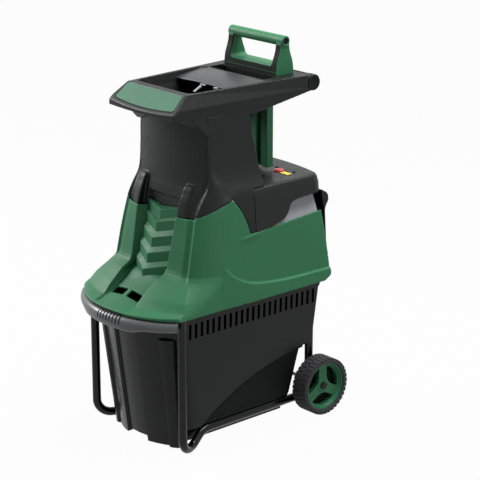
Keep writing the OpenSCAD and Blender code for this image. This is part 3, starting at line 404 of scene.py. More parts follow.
    def finish(self, name: str, body: str, finish: "Finish", slot: str, angle: float = 32.0,
               stands_for: Sequence[str] = ()) -> bpy.types.Object:
        """Names, shades and dresses the piece and hangs it on its body.

        Args:
            name: Name of the piece.
            body: Body that it moves with.
            finish: Its finish.
            slot: Name of a material slot; not used.
            angle: Edges up to this angle are shaded smooth.
            stands_for: CAD nodes that it stands for.

        Returns:
            The finished object.
        """
        self.hold()
        bpy.ops.object.shade_smooth_by_angle(angle=math.radians(angle))
        self._apply("WEIGHTED_NORMAL", keep_sharp=True)
        self.obj.name = name
        self.obj.data.name = name
        self.obj.data.materials.clear()
        self.obj.data.materials.append(finish.material())
        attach(self.obj, body)
        if stands_for:
            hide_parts(*stands_for)
        log.info("%s: %d faces", name, len(self.obj.data.polygons))
        return self.obj


class Kind(Enum):
    """How a finish's surface is made."""

    MOULDED = "moulded"
    PAINTED = "painted"
    RUBBER = "rubber"
    BRUSHED = "brushed"
    CAST = "cast"


@dataclass(frozen=True)
class Finish:
    """One material of the shredder."""

    name: str
    colour: tuple[float, float, float, float]
    roughness: float
    kind: Kind = Kind.MOULDED
    grain_mm: float = 0.9
    relief_mm: float = 0.05
    mottle: float = 0.10
    specular: float = 0.5

    def material(self) -> bpy.types.Material:
        """Gives the finish's material, made once."""
        return bpy.data.materials.get(self.name) or self._make()

    def _make(self) -> bpy.types.Material:
        """Builds the node tree: colour drift, gloss drift, scuffs and surface grain."""
        made = bpy.data.materials.new(self.name)
        made.use_nodes = True
        nodes, links = made.node_tree.nodes, made.node_tree.links
        shader = nodes["Principled BSDF"]
        shader.inputs["Metallic"].default_value = 1.0 if self.kind in (Kind.BRUSHED, Kind.CAST) else 0.0
        shader.inputs["Specular IOR Level"].default_value = self.specular
        if self.kind is Kind.PAINTED:
            shader.inputs["Coat Weight"].default_value = 0.25
            shader.inputs["Coat Roughness"].default_value = 0.12
        where = nodes.new("ShaderNodeTexCoord")
        stretch = nodes.new("ShaderNodeMapping")
        stretch.inputs["Scale"].default_value = (1.0, 1.0, 14.0) if self.kind is Kind.BRUSHED else (1.0, 1.0, 1.0)
        links.new(where.outputs["Object"], stretch.inputs["Vector"])

        drift = nodes.new("ShaderNodeTexNoise")
        drift.inputs["Scale"].default_value = 9.0
        drift.inputs["Detail"].default_value = 4.0
        links.new(stretch.outputs["Vector"], drift.inputs["Vector"])
        scuff = nodes.new("ShaderNodeTexNoise")
        scuff.inputs["Scale"].default_value = 55.0
        scuff.inputs["Detail"].default_value = 6.0
        scuff.inputs["Distortion"].default_value = 1.2
        links.new(stretch.outputs["Vector"], scuff.inputs["Vector"])

        tint = nodes.new("ShaderNodeValToRGB")
        tint.color_ramp.elements[0].position = 0.3
        tint.color_ramp.elements[1].position = 0.72
        for element, gain in zip(tint.color_ramp.elements, (1.0 - self.mottle, 1.0 + self.mottle)):
            element.color = (*(min(1.0, c * gain) for c in self.colour[:3]), 1.0)
        links.new(drift.outputs["Fac"], tint.inputs["Fac"])
        links.new(tint.outputs["Color"], shader.inputs["Base Color"])

        gloss = nodes.new("ShaderNodeMapRange")
        gloss.inputs["From Min"].default_value = 0.3
        gloss.inputs["From Max"].default_value = 0.7
        gloss.inputs["To Min"].default_value = max(0.04, self.roughness - 0.06)
        gloss.inputs["To Max"].default_value = min(1.0, self.roughness + 0.07)
        links.new(scuff.outputs["Fac"], gloss.inputs["Value"])
        links.new(gloss.outputs["Result"], shader.inputs["Roughness"])

        if self.kind is Kind.CAST:
            grain = nodes.new("ShaderNodeTexVoronoi")
            height = grain.outputs["Distance"]
        else:
            grain = nodes.new("ShaderNodeTexNoise")
            grain.inputs["Detail"].default_value = 2.0
            height = grain.outputs["Fac"]
        grain.inputs["Scale"].default_value = 1000.0 / self.grain_mm / 4
        links.new(stretch.outputs["Vector"], grain.inputs["Vector"])
        bump = nodes.new("ShaderNodeBump")
        bump.inputs["Strength"].default_value = 0.35
        bump.inputs["Distance"].default_value = self.relief_mm * MM
        links.new(height, bump.inputs["Height"])
        links.new(bump.outputs["Normal"], shader.inputs["Normal"])
        return made


GREEN = Finish("moulded_green", linear(42, 104, 69), 0.5, mottle=0.05, specular=0.26)
PLATE_GREEN = Finish("hopper_plate_green", linear(56, 98, 77), 0.48, mottle=0.04, specular=0.2)
LOUVRE_GREEN = Finish("louvre_green", linear(42, 104, 69), 0.52, mottle=0.05, specular=0.22)
DARK = Finish("moulded_charcoal", linear(17, 19, 19), 0.42, mottle=0.08, specular=0.19)
DECK = Finish("deck_charcoal", linear(21, 23, 23), 0.38, mottle=0.08, specular=0.2)
MATT = Finish("matt_black", linear(8, 11, 10), 0.68, mottle=0.10, specular=0.14)
HOOD = Finish("hood_charcoal", linear(38, 40, 42), 0.4, mottle=0.07)
BLACK = Finish("moulded_black", linear(11, 12, 12), 0.44, mottle=0.10, specular=0.2)
BIN = Finish("bin_black", linear(12, 15, 14), 0.25, grain_mm=1.4, relief_mm=0.004, mottle=0.06, specular=0.2)
# Vent panels of charcoal plastic, coloured light grey as painted light: the grey stands for the light falling on them
# from above.
VENT_PAINTED_LIGHT = Finish("vent_grey_painted_light", linear(143, 147, 149), 0.45, mottle=0.05)
# The lip is charcoal; its grey is raised above that as a painted reflection of the bright sky on its rounded top.
LIP_WITH_PAINTED_SHEEN = Finish("lip_charcoal_painted_sheen", linear(78, 81, 82), 0.34, mottle=0.06)
TUBE = Finish("tube_paint", linear(5, 6, 6), 0.14, Kind.PAINTED, grain_mm=3.0, relief_mm=0.004, specular=0.12)
TYRE = Finish("tyre_rubber", linear(20, 21, 21), 0.6, Kind.RUBBER, grain_mm=1.2, relief_mm=0.15)
RED = Finish("button_red", linear(205, 58, 48), 0.3, mottle=0.04)
START = Finish("button_green", linear(52, 150, 92), 0.3, mottle=0.04)
YELLOW = Finish("plate_yellow", linear(250, 218, 70), 0.45, mottle=0.03)
PALE = Finish("pale_plastic", linear(200, 200, 195), 0.5, mottle=0.04)
TAB = Finish("tab_grey", linear(140, 143, 146), 0.42, mottle=0.05)
STEEL = Finish("turned_steel", linear(190, 192, 194), 0.32, Kind.BRUSHED, relief_mm=0.02)
BLADE = Finish("knife_steel", linear(165, 168, 170), 0.36, Kind.BRUSHED, relief_mm=0.03)
ALLOY = Finish("cast_alloy", linear(176, 178, 180), 0.5, Kind.CAST, grain_mm=1.5, relief_mm=0.12)
BRASS = Finish("pin_brass", linear(212, 186, 120), 0.3, Kind.BRUSHED, relief_mm=0.02)
COPPER = Finish("winding_copper", linear(196, 122, 80), 0.4, Kind.BRUSHED, relief_mm=0.06)


@dataclass
class Stand:
    """The tube frame, its axle and the pieces that stay as the CAD made them."""

    finishes: tuple[tuple[Finish, tuple[str, ...]], ...] = (
        (TUBE, ("frame_left", "frame_right")),
        (STEEL, ("axle", "adjuster_screw", "drum_shaft", "countershaft", "drum_gear", "rotor",
                 "drum_bearings", "counter_bearings", "motor_bearings")),
        (BLADE, ("cutting_drum",)),
        (ALLOY, ("cutter_housing", "pressure_plate", "gearbox_housing", "gearbox_cover", "motor_housing")),
        (COPPER, ("stator",)),
        (BRASS, ("inlet_pins",)),
        (PALE, ("bush_left", "bush_right", "run_capacitor")),
        (BLACK, ("axle_spacers", "bin_lock", "lock_guide", "base_plate", "mains_inlet", "axle_caps", "switch_box", "motor_fan", "cover_screws", "feed_throat")),
        (MATT, ("grip_caps",)),
        (VENT_PAINTED_LIGHT, ("vent_panel_left", "vent_panel_right")),
        (YELLOW, ("panel_plate",)),
    )

    def dress(self) -> None:
        """Gives each CAD node its finish."""
        for finish, names in self.finishes:
            for name in names:
                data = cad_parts[name].data
                data.materials.clear()
                data.materials.append(finish.material())
            log.info("%s: %d nodes", finish.name, len(names))


@dataclass
class Wheels:
    """The two wheels: a tyre with two rows of lugs on a three-spoke rim."""

    axle: Place = (0.0, 244.0, 77.5)
    inner_x: float = 161.0
    outer_x: float = 211.0
    tread_r: float = 77.4
    lug_h: float = 1.2
    lug_count: int = 36
    rim_r: float = 63.4
    hub_r: float = 19.0
    face_x: float = 198.0

    def _tyre(self) -> Workpiece:
        """Makes the right tyre."""
        base = self.tread_r - self.lug_h
        low, high = self.inner_x, self.outer_x
        profile = [(low + 3, self.rim_r), (high - 3, self.rim_r), (high - 0.4, self.rim_r + 2.5), (high, self.rim_r + 6),
                   (high - 1.5, base - 2.2), (high - 4.5, base), (low + 4.5, base), (low + 1.5, base - 2.2),
                   (low, self.rim_r + 6), (low + 0.4, self.rim_r + 2.5)]
        tyre = Workpiece.turned(Axis.X, (high, self.axle[1], self.axle[2]), profile, 96)
        middle = (low + high) / 2
        lugs = []
        for row, (start, end) in enumerate(((middle + 0.8, high - 1.0), (low + 1.0, middle - 0.8))):
            top = self.axle[2] + self.tread_r
            lug = Workpiece.stock((start, self.axle[1] - 5.2, top - self.lug_h - 1.5), (end, self.axle[1] + 5.2, top))
            lug.round_edges(0.6, 2)
            for k in range(self.lug_count):
                lugs.append(lug.copy().turn(Axis.X, (k + row / 2) * 360 / self.lug_count, self.axle))
            bpy.data.objects.remove(lug.obj)
        return tyre.gather(*lugs)

    def _window(self) -> list[Flat]:
        """Draws one window between two spokes, around the hub, along the first axis."""
        outer = [(53.0 * math.cos(a), 53.0 * math.sin(a)) for a in (math.radians(-43 + 8.6 * k) for k in range(11))]
        inner = flowing([(outer[-1][0] - 3, outer[-1][1] + 1), (30.0, 25.0), (22.6, 11.0), (20.8, 0.0), (22.6, -11.0),
                         (30.0, -25.0), (outer[0][0] - 3, outer[0][1] - 1)], 4)
        return outer + inner[1:-1]

    def _rim(self) -> Workpiece:
        """Makes the right rim."""
        y, z = self.axle[1:]
        face = self.face_x
        ring = [(self.inner_x + 5, 56.5), (face - 12, 56.5), (face - 12, 12.0), (face - 2, 10.2), (face + 1.5, 10.2),
                (face + 1.5, 17.5), (face, self.hub_r), (face - 1.0, 30.0), (face - 0.5, 55.0), (face + 5, 58.6),
                (self.outer_x - 5, 59.6), (self.outer_x - 4.6, self.rim_r), (self.inner_x + 5, self.rim_r)]
        rim = Workpiece.turned(Axis.X, (face, y, z), ring, 96)
        for angle in (30, 150, 270):
            turn = math.radians(angle)
            hole = [(y + a * math.cos(turn) - b * math.sin(turn), z + a * math.sin(turn) + b * math.cos(turn))
                    for a, b in self._window()]
            rim.cut(Workpiece.prism(Axis.X, self.inner_x, self.outer_x + 5, hole))
        return rim.round_edges(1.3, 2, 40)

    def build(self) -> None:
        """Makes both wheels, the left ones as copies."""
        tyre, rim = self._tyre(), self._rim()
        for piece, name, finish, slot in ((tyre, "tyre", TYRE, "tyre_rubber"), (rim, "rim", GREEN, "green_plastic")):
            twin = piece.mirrored()
            piece.finish(f"wheel_{name}_right", "wheel_right", finish, slot, stands_for=[f"{name}_right"])
            twin.finish(f"wheel_{name}_left", "wheel_left", finish, slot, stands_for=[f"{name}_left"])
        disc = Workpiece.turned(Axis.X, (176.0, *self.axle[1:]), [(176.0, 12.5), (178.0, 12.5), (178.0, 56.3), (176.0, 56.3)], 72)
        disc.mirrored().finish("wheel_back_left", "wheel_left", MATT, "dark_plastic")
        disc.finish("wheel_back_right", "wheel_right", MATT, "dark_plastic")


@dataclass
class Bin:
    """The collecting bin with its ribbed front, air slots, side recess and bowed front lip."""

    top_z: float = 357.6
    low_z: float = 4.0
    half_w: float = 160.0
    taper: float = 10.0
    bow_r: float = 235.0
    bow_y: float = -37.0
    rake: float = 43.0
    back_y: float = 262.0
    wall: float = 3.0
    slot_count: int = 23
    lip_r: float = 281.8
    lip_y: float = -43.5
    lip_half_deg: float = 43.2

    def _ring(self, z: float, inset: float, proud: bool) -> list[Place]:
        """Draws the bin's plan at a height.

        Args:
            z: The height.
            inset: How far inside the outer face.
            proud: Whether the steps of the ribbed front show.

        Returns:
            Points around the plan.
        """
        share = (self.top_z - z) / (self.top_z - 15.0)
        squeeze = 1 - self.taper / self.half_w * (self.top_z - z) / (self.top_z - 53.0)
        right: list[Flat] = []
        for angle, step in ((0.0, -7.0), (4.0, -7.0), (8.0, -7.0), (9.6, -7.0), (10.6, 0.0), (14.0, 0.0), (18.0, 0.0),
                            (22.0, 0.0), (26.0, 0.0), (30.0, 0.0), (34.0, 0.0), (37.5, 0.0), (40.5, 0.0)):
            radius = self.bow_r - inset + (step if proud else min(step, 0.0))
            turn = math.radians(angle)
            right.append((radius * math.sin(turn), -radius * math.cos(turn)))
        half = self.half_w - inset
        corner = right[-1]
        right += [(half - 3.0, corner[1] + 8.0), (half, corner[1] + 22.0)]
        back = self.back_y - inset
        out = [(x * squeeze, y + self.bow_y + self.rake * share, z) for x, y in right]
        out.append((half * squeeze, back, z))
        return out + [(-x, y, zz) for x, y, zz in reversed(out[1:])] + [(-out[0][0], out[0][1], z)][:0]

    def _block(self, inset: float) -> Workpiece:
        """Makes the bin as a block, moved in by an inset."""
        low = self.low_z if inset == 0 else 15.0 + inset
        high = self.top_z + (2.0 if inset else 0.0)
        block = Workpiece.loft([self._ring(low, inset, True), self._ring(high, inset, True)])
        side = [(-400, high + 5), (self.back_y - inset, high + 5), (self.back_y - 4 - inset, 331.0), (244 - inset, 215.0),
                (240 - inset, 188 + inset), (211 - inset, 188 + inset), (172 - inset, 62.0), (166 - inset, 53.3 + inset),
                (157 - inset, 53.3 + inset), (157 - inset, -5), (-400, -5)]
        block.common(Workpiece.prism(Axis.X, -260, 260, side))
        for sign in (-1, 1):
            edge = sorted((sign * (127.0 - inset), sign * 260.0))
            block.cut(Workpiece.stock((edge[0], -205.0 + inset, -20.0), (edge[1], 300.0, 53.3 + inset)))
            recess = sorted((sign * (142.5 - inset), sign * 300.0))
            block.cut(Workpiece.rod((recess[0], 237.0, -422.0), (recess[1], 237.0, -422.0), 2 * (605.0 + inset), 256))
        if inset == 0:
            block.cut(Workpiece.stock((-41.0, -330.0, -20.0), (41.0, -150.0, 15.0)))
            block.cut(Workpiece.stock((-140.0, -196.0, -20.0), (140.0, 300.0, 15.0)))
        return block

    def _column(self) -> Workpiece:
        """Makes the bulge on the front's right corner, which stops under the lip."""
        rings = []
        for z in (3.0, 303.0):
            share = (self.top_z - z) / (self.top_z - 15.0)
            squeeze = 1 - self.taper / self.half_w * (self.top_z - z) / (self.top_z - 53.0)
            ring = []
            for angle, step in ((27.0, -2.0), (28.2, 6.5), (30.5, 9.5), (33.5, 9.0), (36.5, 6.0), (39.0, 0.5), (39.0, -9.0),
                                (33.0, -9.0), (27.0, -9.0)):
                turn = math.radians(angle)
                radius = self.bow_r + step
                ring.append((radius * math.sin(turn) * squeeze,
                             -radius * math.cos(turn) + self.bow_y + self.rake * share, z))
            rings.append(ring)
        return Workpiece.loft(rings)

    def _body(self) -> Workpiece:
        """Makes the bin's shell."""
        shell = self._block(0.0)
        shell.fuse(self._column(), self._column().flip())
        flange = Workpiece.stock((-163.0, -150.0, self.top_z - 8), (163.0, self.back_y, self.top_z))
        band = Workpiece.stock((-161.6, -196.0, self.top_z - 14), (161.6, self.back_y - 0.5, self.top_z))
        shell.fuse(band, flange)
        shell.cut(self._block(self.wall))
        first, pitch = -188.0, (self.back_y - 12 + 188.0) / self.slot_count
        for k in range(self.slot_count):
            middle = first + (k + 0.5) * pitch
            shell.cut(Workpiece.stock((-260.0, middle - 4.2, 300.0), (260.0, middle + 4.2, 339.5)))
        return shell.round_edges(1.1, 2, 40)

    def _lip_section(self, angle: float) -> list[Place]:
        """Draws the lip's section at an angle around its bow.

        Args:
            angle: The angle in degrees.

        Returns:
            Points around the section.
        """
        deep = 1.0 - min(1.0, max(0.0, (abs(angle) - 17.0) / 10.0))
        fade = max(0.0, (abs(angle) - 30.0) / (self.lip_half_deg - 30.0))
        low = 338.0 - 8.0 * deep * deep * (3 - 2 * deep) + 3.0 * fade
        section = [(-17.0, 365.4), (-13.5, 365.8), (-9.8, 364.9), (-6.4, 362.9), (-3.5, 359.9), (-1.5, 356.3), (-0.4, 352.3),
                   (0.0, 348.6), (-0.6, low + 7.5), (-2.6, low + 3.6), (-6.0, low + 1.0), (-10.0, low), (-14.0, low + 1.4),
                   (-16.6, low + 5.0), (-17.2, 356.0)]
        turn = math.radians(angle)
        out = []
        for a, b in section:
            radius = self.lip_r + a * (1 - 0.15 * fade)
            out.append((radius * math.sin(turn), self.lip_y - radius * math.cos(turn), b))
        return out

    def _lip(self) -> Workpiece:
        """Makes the bowed front lip with its grip ribs and the shelf that holds it to the bin."""
        steps = 72
        angles = [self.lip_half_deg * (2 * k / steps - 1) for k in range(steps + 1)]
        lip = Workpiece.loft([self._lip_section(a) for a in angles])
        grooves = []
        floor = [(-14.5, 360.5), (-11.4, 359.6), (-9.1, 358.2), (-7.4, 356.2), (-6.3, 353.8), (-5.6, 350.5), (-2.0, 345.5),
                 (8.0, 345.5), (8.0, 372.0), (-14.5, 372.0)]
        for k in range(8):
            groove = Workpiece.prism(Axis.X, -2.3, 2.3, [(self.lip_y - self.lip_r - a, b) for a, b in floor])
            grooves.append(groove.turn(Axis.Z, -5.4 + 2.34 * k, (0.0, self.lip_y, 0.0)))
        lip.cut(*grooves)
        lip.round_edges(0.9, 2, 40)
        shelf = [(-140.0, -233.0), (-110.0, -262.0)] + [(262 * math.sin(a), self.lip_y - 262 * math.cos(a))
                 for a in (math.radians(-24 + 6 * k) for k in range(9))] + [(110.0, -262.0), (140.0, -233.0)]
        plate = Workpiece.prism(Axis.Z, 342.0, 347.0, shelf)
        plate.cut(Workpiece.loft([self._ring(330.0, 0.0, True), self._ring(357.0, 0.0, True)]))
        return lip.gather(plate)

    def _recess_shade_panel(self) -> Workpiece:
        """Makes the matt black panel in the right side's arched recess, which paints the recess's shade."""
        arc = [(y, -423.5 + math.sqrt(603.0 ** 2 - (y - 237.0) ** 2)) for y in (-130.0 + 20.0 * k for k in range(17))]
        return Workpiece.prism(Axis.X, 141.8, 143.0, arc + [(203.0, 178.0), (168.0, 62.0), (163.5, 56.0), (-132.0, 56.0)])

    def build(self) -> None:
        """Makes the bin, the black panels that paint shade into its side recesses, and its lip."""
        self._body().finish("bin_shell", "bin", BIN, "bin_plastic", stands_for=["collecting_bin"])
        # Matt black panels in the side recesses, painted shade for the darkness there.
        shade_panel = self._recess_shade_panel()
        shade_panel.gather(shade_panel.mirrored())
        shade_panel.finish("bin_side_painted_shade", "bin", MATT, "bin_plastic")
        self._lip().finish("bin_front_lip", "bin", LIP_WITH_PAINTED_SHEEN, "bin_plastic", stands_for=["bin_handle"])


def reading(rows: Sequence[Sequence[float]], at: float) -> list[float]:
    """Reads a table in straight stretches between its rows.

    Args:
        rows: Rows that start with a rising number, such as a height.
        at: The number to read the table at.

    Returns:
        The other columns there.
    """
    at = min(max(at, rows[0][0]), rows[-1][0])
    for low, high in zip(rows, rows[1:]):
        if at <= high[0]:
            share = (at - low[0]) / (high[0] - low[0])
            return [a + (b - a) * share for a, b in zip(low[1:], high[1:])]
    return list(rows[-1][1:])


def bending(start: Flat, end: Flat, steps: int = 6) -> list[Flat]:
    """Bends from a corner into a side that runs along the second axis.

    Args:
        start: The corner.
        end: Where the bend has reached the side.
        steps: Points to make.

    Returns:
        Points after the corner, with the end.
    """
    hinge = (end[0] - (end[0] - start[0]) * 0.25, start[1] + (end[1] - start[1]) * 0.38)
    out = []
    for k in range(1, steps + 1):
        t = k / steps
        out.append(tuple((1 - t) ** 2 * a + 2 * t * (1 - t) * b + t * t * c for a, b, c in zip(start, hinge, end)))
    return out


@dataclass
class GreenBody:
    """The green moulding: two fenders that rise into uprights, the apron between them and the sides."""

    bottom_z: float = 367.3
    half_w: float = 193.0
    lean: float = 4.2
    wall: float = 4.4
    upright_z: float = 593.5
    bow_front: float = 315.8
    bow_r: float = 274.0
    back_y: float = -50.0
    split_x: float = 129.6
    ridge: tuple[tuple[float, ...], ...] = (
        (360.0, 194.5, -233.0, -205.0), (368.0, 192.8, -229.5, -196.0), (378.0, 190.0, -225.0, -180.0),
        (392.0, 184.5, -218.0, -160.0), (405.0, 178.0, -209.5, -140.0), (418.0, 168.5, -198.5, -120.0),
        (432.0, 157.5, -186.0, -105.0), (443.0, 149.0, -176.5, -95.0), (454.0, 144.0, -170.4, -88.0),
        (475.0, 143.2, -166.0, -84.0), (516.0, 141.6, -157.8, -76.0), (557.0, 139.1, -148.5, -68.0),
        (589.0, 136.5, -140.7, -62.0), (600.0, 136.2, -137.5, -60.0), (620.0, 136.0, -129.0, -56.0),
        (640.0, 136.0, -117.5, -53.0))
    front: tuple[tuple[float, ...], ...] = (
        (360.0, -308.0), (369.0, -306.0), (371.5, -294.0), (377.0, -281.5), (394.0, -266.7), (409.7, -252.0), (425.0, -231.4),
        (440.0, -211.5), (447.0, -198.0), (453.0, -186.5), (460.0, -181.0), (476.0, -176.4), (593.5, -152.8), (650.0, -141.6))
    channel: tuple[tuple[float, ...], ...] = ((360.0, 60.0), (380.0, 63.0), (410.0, 64.0), (437.0, 68.0), (453.0, 69.0), (593.5, 76.0))
    throat_x: float = 58.0
    groove: tuple[Flat, ...] = ((24.0, 0.0), (19.5, 1.5), (15.0, 3.5), (11.0, 4.7), (7.5, 4.2), (4.2, 2.2), (1.8, 0.5))

    def side_x(self, z: float) -> float:
        """Gives half the width over the leaning sides at a height."""
        return self.half_w - (z - 367.0) * math.tan(math.radians(self.lean))

    def _bow_y(self, x: float) -> float:
        """Gives the bowed front's place at a distance from the middle."""
        return self.bow_r - self.bow_front - math.sqrt(self.bow_r ** 2 - x * x)

    def _bow(self, low: float, high: float) -> Workpiece:
        """Makes the space behind the bowed front."""
        half = self.half_w + 4
        arc = [(x, self._bow_y(x)) for x in (half * (2 * k / 40 - 1) for k in range(41))]
        return Workpiece.prism(Axis.Z, low, high, arc + [(half, 20.0), (-half, 20.0)])

    def _ring(self, z: float, inset: float) -> list[Place]:
        """Draws the plan of the right fender and upright at a height.

        Args:
            z: The height.
            inset: How far inside the outer face.

        Returns:
            Points around the plan.
        """
        face = reading(self.front, z + inset)[0] + inset
        rx, ry, tangent = reading(self.ridge, z)
        foot = min(1.0, max(0.0, (387.0 - z - inset) / 12.5)) ** 1.5
        rx, ry = rx - 0.8 * inset, ry + (self._bow_y(rx) - ry) * foot + 0.8 * inset
        start = reading(self.channel, z)[0] + inset
        steep = min(1.0, max(0.0, (z - 436.0) / 24.0))
        spread = 0.3 + 0.7 * steep
        last = rx - 26.0 * spread
        points: list[Flat] = []
        for k in range(11):
            x = start + (last - start) * k / 10
            even = (x - start) / (rx - start)
            bowed = (self._bow_y(x) - self._bow_y(start)) / (self._bow_y(rx) - self._bow_y(start))
            share = even * steep + bowed * (1 - steep)
            y = face + (ry - face) * share
            points.append((x, max(y + (self._bow_y(x) + inset - y) * foot, self._bow_y(x) + inset)))
        slope = points[-1][1]
        for dx, dy in self.groove:
            points.append((rx - dx * spread, slope + (ry - slope) * (26.0 - dx) / 26.0 + dy * steep))
        points += [(rx, ry)] + bending((rx, ry), (self.side_x(z) - inset, tangent))
        back = self.back_y + (12.0 if inset else 0.0)
        inner = start + (self.throat_x + inset - start) * steep
        points += [(self.side_x(z) - inset, back), (inner, back), (inner, min(face + 21.0, back - 2.0))]
        return [(x, y, z) for x, y in points]

    def _fender(self, inset: float) -> Workpiece:
        """Makes the right fender and upright as a block."""
        heights = [369.0, 371.0, 373.0, 374.5, 376.0, 378.0, 381.0, 385.0, 392.0, 399.0, 405.0, 412.0, 418.0, 424.0, 428.0, 432.0, 436.0, 440.0, 444.0, 448.0, 454.0,
                   464.0, 476.0, 495.0, 516.0, 540.0, 557.0, 575.0, 589.0, 600.0, 620.0]
        ends = (350.0, 648.0) if inset else (self.bottom_z, 640.0)
        return Workpiece.loft([self._ring(z, inset) for z in (ends[0], *heights, ends[1])])

    def above_border(self, over: float) -> Workpiece:
        """Makes the space above the line where the charcoal shell starts on the right.

        Args:
            over: How far the space starts above the line.

        Returns:
            The space as a block.
        """
        line = [(-190.0, 576.3 + over), (-138.0, 599.0 + over), (-49.0, 637.8 + over), (-30.0, 640.0 + over)]
        return Workpiece.prism(Axis.X, self.split_x, 260.0, line + [(-30.0, 760.0), (-190.0, 760.0)])

    def _apron(self) -> Workpiece:
        """Makes the apron between the fenders, with its two windows."""
        top = flowing([(-329.0, 374.3), (-314.0, 375.8), (-300.0, 379.2), (-284.0, 384.6), (-262.0, 394.5), (-235.0, 409.0),
                       (-214.0, 422.0), (-202.0, 430.5), (-186.0, 442.0), (-160.0, 452.0), (-126.0, 458.0)], 4)
        rings = []
        for x in (-74.0, -62.0, -48.0, -32.0, -16.0, 0.0, 16.0, 32.0, 48.0, 62.0, 74.0):
            sink = [min(1.0, max(0.0, (y + 318.0) / 30.0)) * 8.0 * (x / 64.0) ** 2 for y, _ in top]
            over = [(x, y, z - s) for (y, z), s in zip(top, sink)]
            rings.append(over + [(x, y + 1.5, z - self.wall) for _, y, z in reversed(over)])
        apron = Workpiece.loft(rings)
        apron.common(self._bow(340.0, 620.0))
        for x in (-29.5, 29.5):
            window = Workpiece.prism(Axis.Z, 370.0, 440.0, rounded_box((x - 22.5, -259.0), (x + 22.5, -238.5), 1.5, 2))
            apron.cut(window)
        return apron

    def _on_side(self, piece: Workpiece) -> Workpiece:
        """Leans a piece that was made upright at the bottom edge."""
        return piece.turn(Axis.Y, -self.lean, (self.half_w, 0.0, 367.0))

    def _side(self) -> Workpiece:
        """Makes the right side with its swept step."""
        border = [(-58.0, 633.4), (-49.0, 636.6)] + flowing(
            [(-45.0, 635.0), (-24.0, 607.0), (-8.0, 577.0), (2.0, 547.0), (8.0, 541.5)], 4)
        rear = flowing([(244.0, 557.0), (249.0, 551.0), (262.0, 470.0), (271.5, 384.0), (268.0, 378.0), (248.0, 367.6)], 4)
        panel = Workpiece.prism(Axis.X, self.half_w - self.wall, self.half_w,
                                [(-58.0, 367.6)] + border + rear)
        sweep = flowing([(-86.0, 473.0), (-62.0, 449.0), (-39.0, 435.0), (-17.0, 425.0), (24.0, 414.5), (96.0, 406.5),
                         (169.0, 403.5), (269.0, 402.5)], 6)
        low_edge = [(271.0, 386.0), (267.0, 378.5), (248.0, 368.4), (-116.0, 368.4)]
        band = Workpiece.loft([[(self.half_w + out, y, z - drop) for y, z in sweep] + [(self.half_w + out, y, z) for y, z in low_edge]
                               for out, drop in ((-2.0, -1.0), (8.0, 6.0))])
        band.common(Workpiece.prism(Axis.Z, 300.0, 520.0, [
            (self.half_w - 2, -112.0), (self.half_w - 0.5, -112.0), (self.half_w + 3.0, -62.0), (self.half_w + 5.2, 0.0),
            (self.half_w + 5.6, 290.0), (self.half_w - 2, 290.0)]))
        brow = [(-46.0, 533.2), (-28.0, 536.6), (-10.0, 539.6), (12.0, 543.0), (246.0, 556.4)]
        flick = Workpiece.loft([[(self.half_w + out, y, z - drop) for y, z in brow] + [
            (self.half_w + out, y, z) for y, z in ((246.0, 546.0), (12.0, 531.0), (-20.0, 531.4))] for out, drop in ((-2.0, 0.0), (3.0, 3.4))])
        flick.common(Workpiece.prism(Axis.Z, 500.0, 580.0, [
            (self.half_w - 2, -60.0), (self.half_w - 0.3, -46.0), (self.half_w + 2.4, -8.0), (self.half_w + 1.6, 22.0),
            (self.half_w - 0.4, 64.0), (self.half_w - 2, 80.0)]))
        return self._on_side(panel.fuse(band, flick))

    def build(self) -> None:
        """Makes the moulding in one piece, which stands for the front cover and both side panels."""
        right = self._fender(0.0).cut(self._fender(self.wall))
        right.cut(self.above_border(0.0), Workpiece.stock((0.0, -300.0, self.upright_z), (self.split_x, 0.0, 760.0)))
        right.fuse(self._side())
        left = right.mirrored()
        right.fuse(left, self._apron())
        right.cut(Workpiece.rod((-230.0, -20.0, 470.0), (-150.0, -20.0, 470.0), 14.0, 32))
        right.soften(1.7, 4, 0.32)
        right.finish("green_moulding", "chassis", GREEN, "green_plastic", 50.0,
                     ["front_cover", "side_panel_left", "side_panel_right"])

    def louvres(self) -> None:
        """Makes the stepped chevron louvres between the uprights."""
        half = self.throat_x + 1.5
        rings = []
        for tip, top, back in ((214.5, 413.0, 0.52), (198.9, 450.8, 0.47), (183.6, 488.6, 0.41), (168.4, 526.6, 0.35),
                               (153.1, 564.4, 0.27), (139.5, 594.0, 0.2)):
            for z, reach in ((top - 25.0, tip + 2.0), (top, tip)):
                across = [half * (j / 4 - 1) for j in range(9)]
                rings.append([(x, -reach + back * abs(x), z + 0.25 * abs(x)) for x in across]
                             + [(x, -121.2, z + 0.25 * abs(x)) for x in reversed(across)])
        panel = Workpiece.loft(rings)
        panel.common(Workpiece.stock((-100.0, -260.0, 405.0), (100.0, -100.0, 612.0)))
        panel.round_edges(0.7, 2, 18)
        panel.finish("chevron_louvres", "chassis", LOUVRE_GREEN, "green_plastic", stands_for=["louvre_panel"])


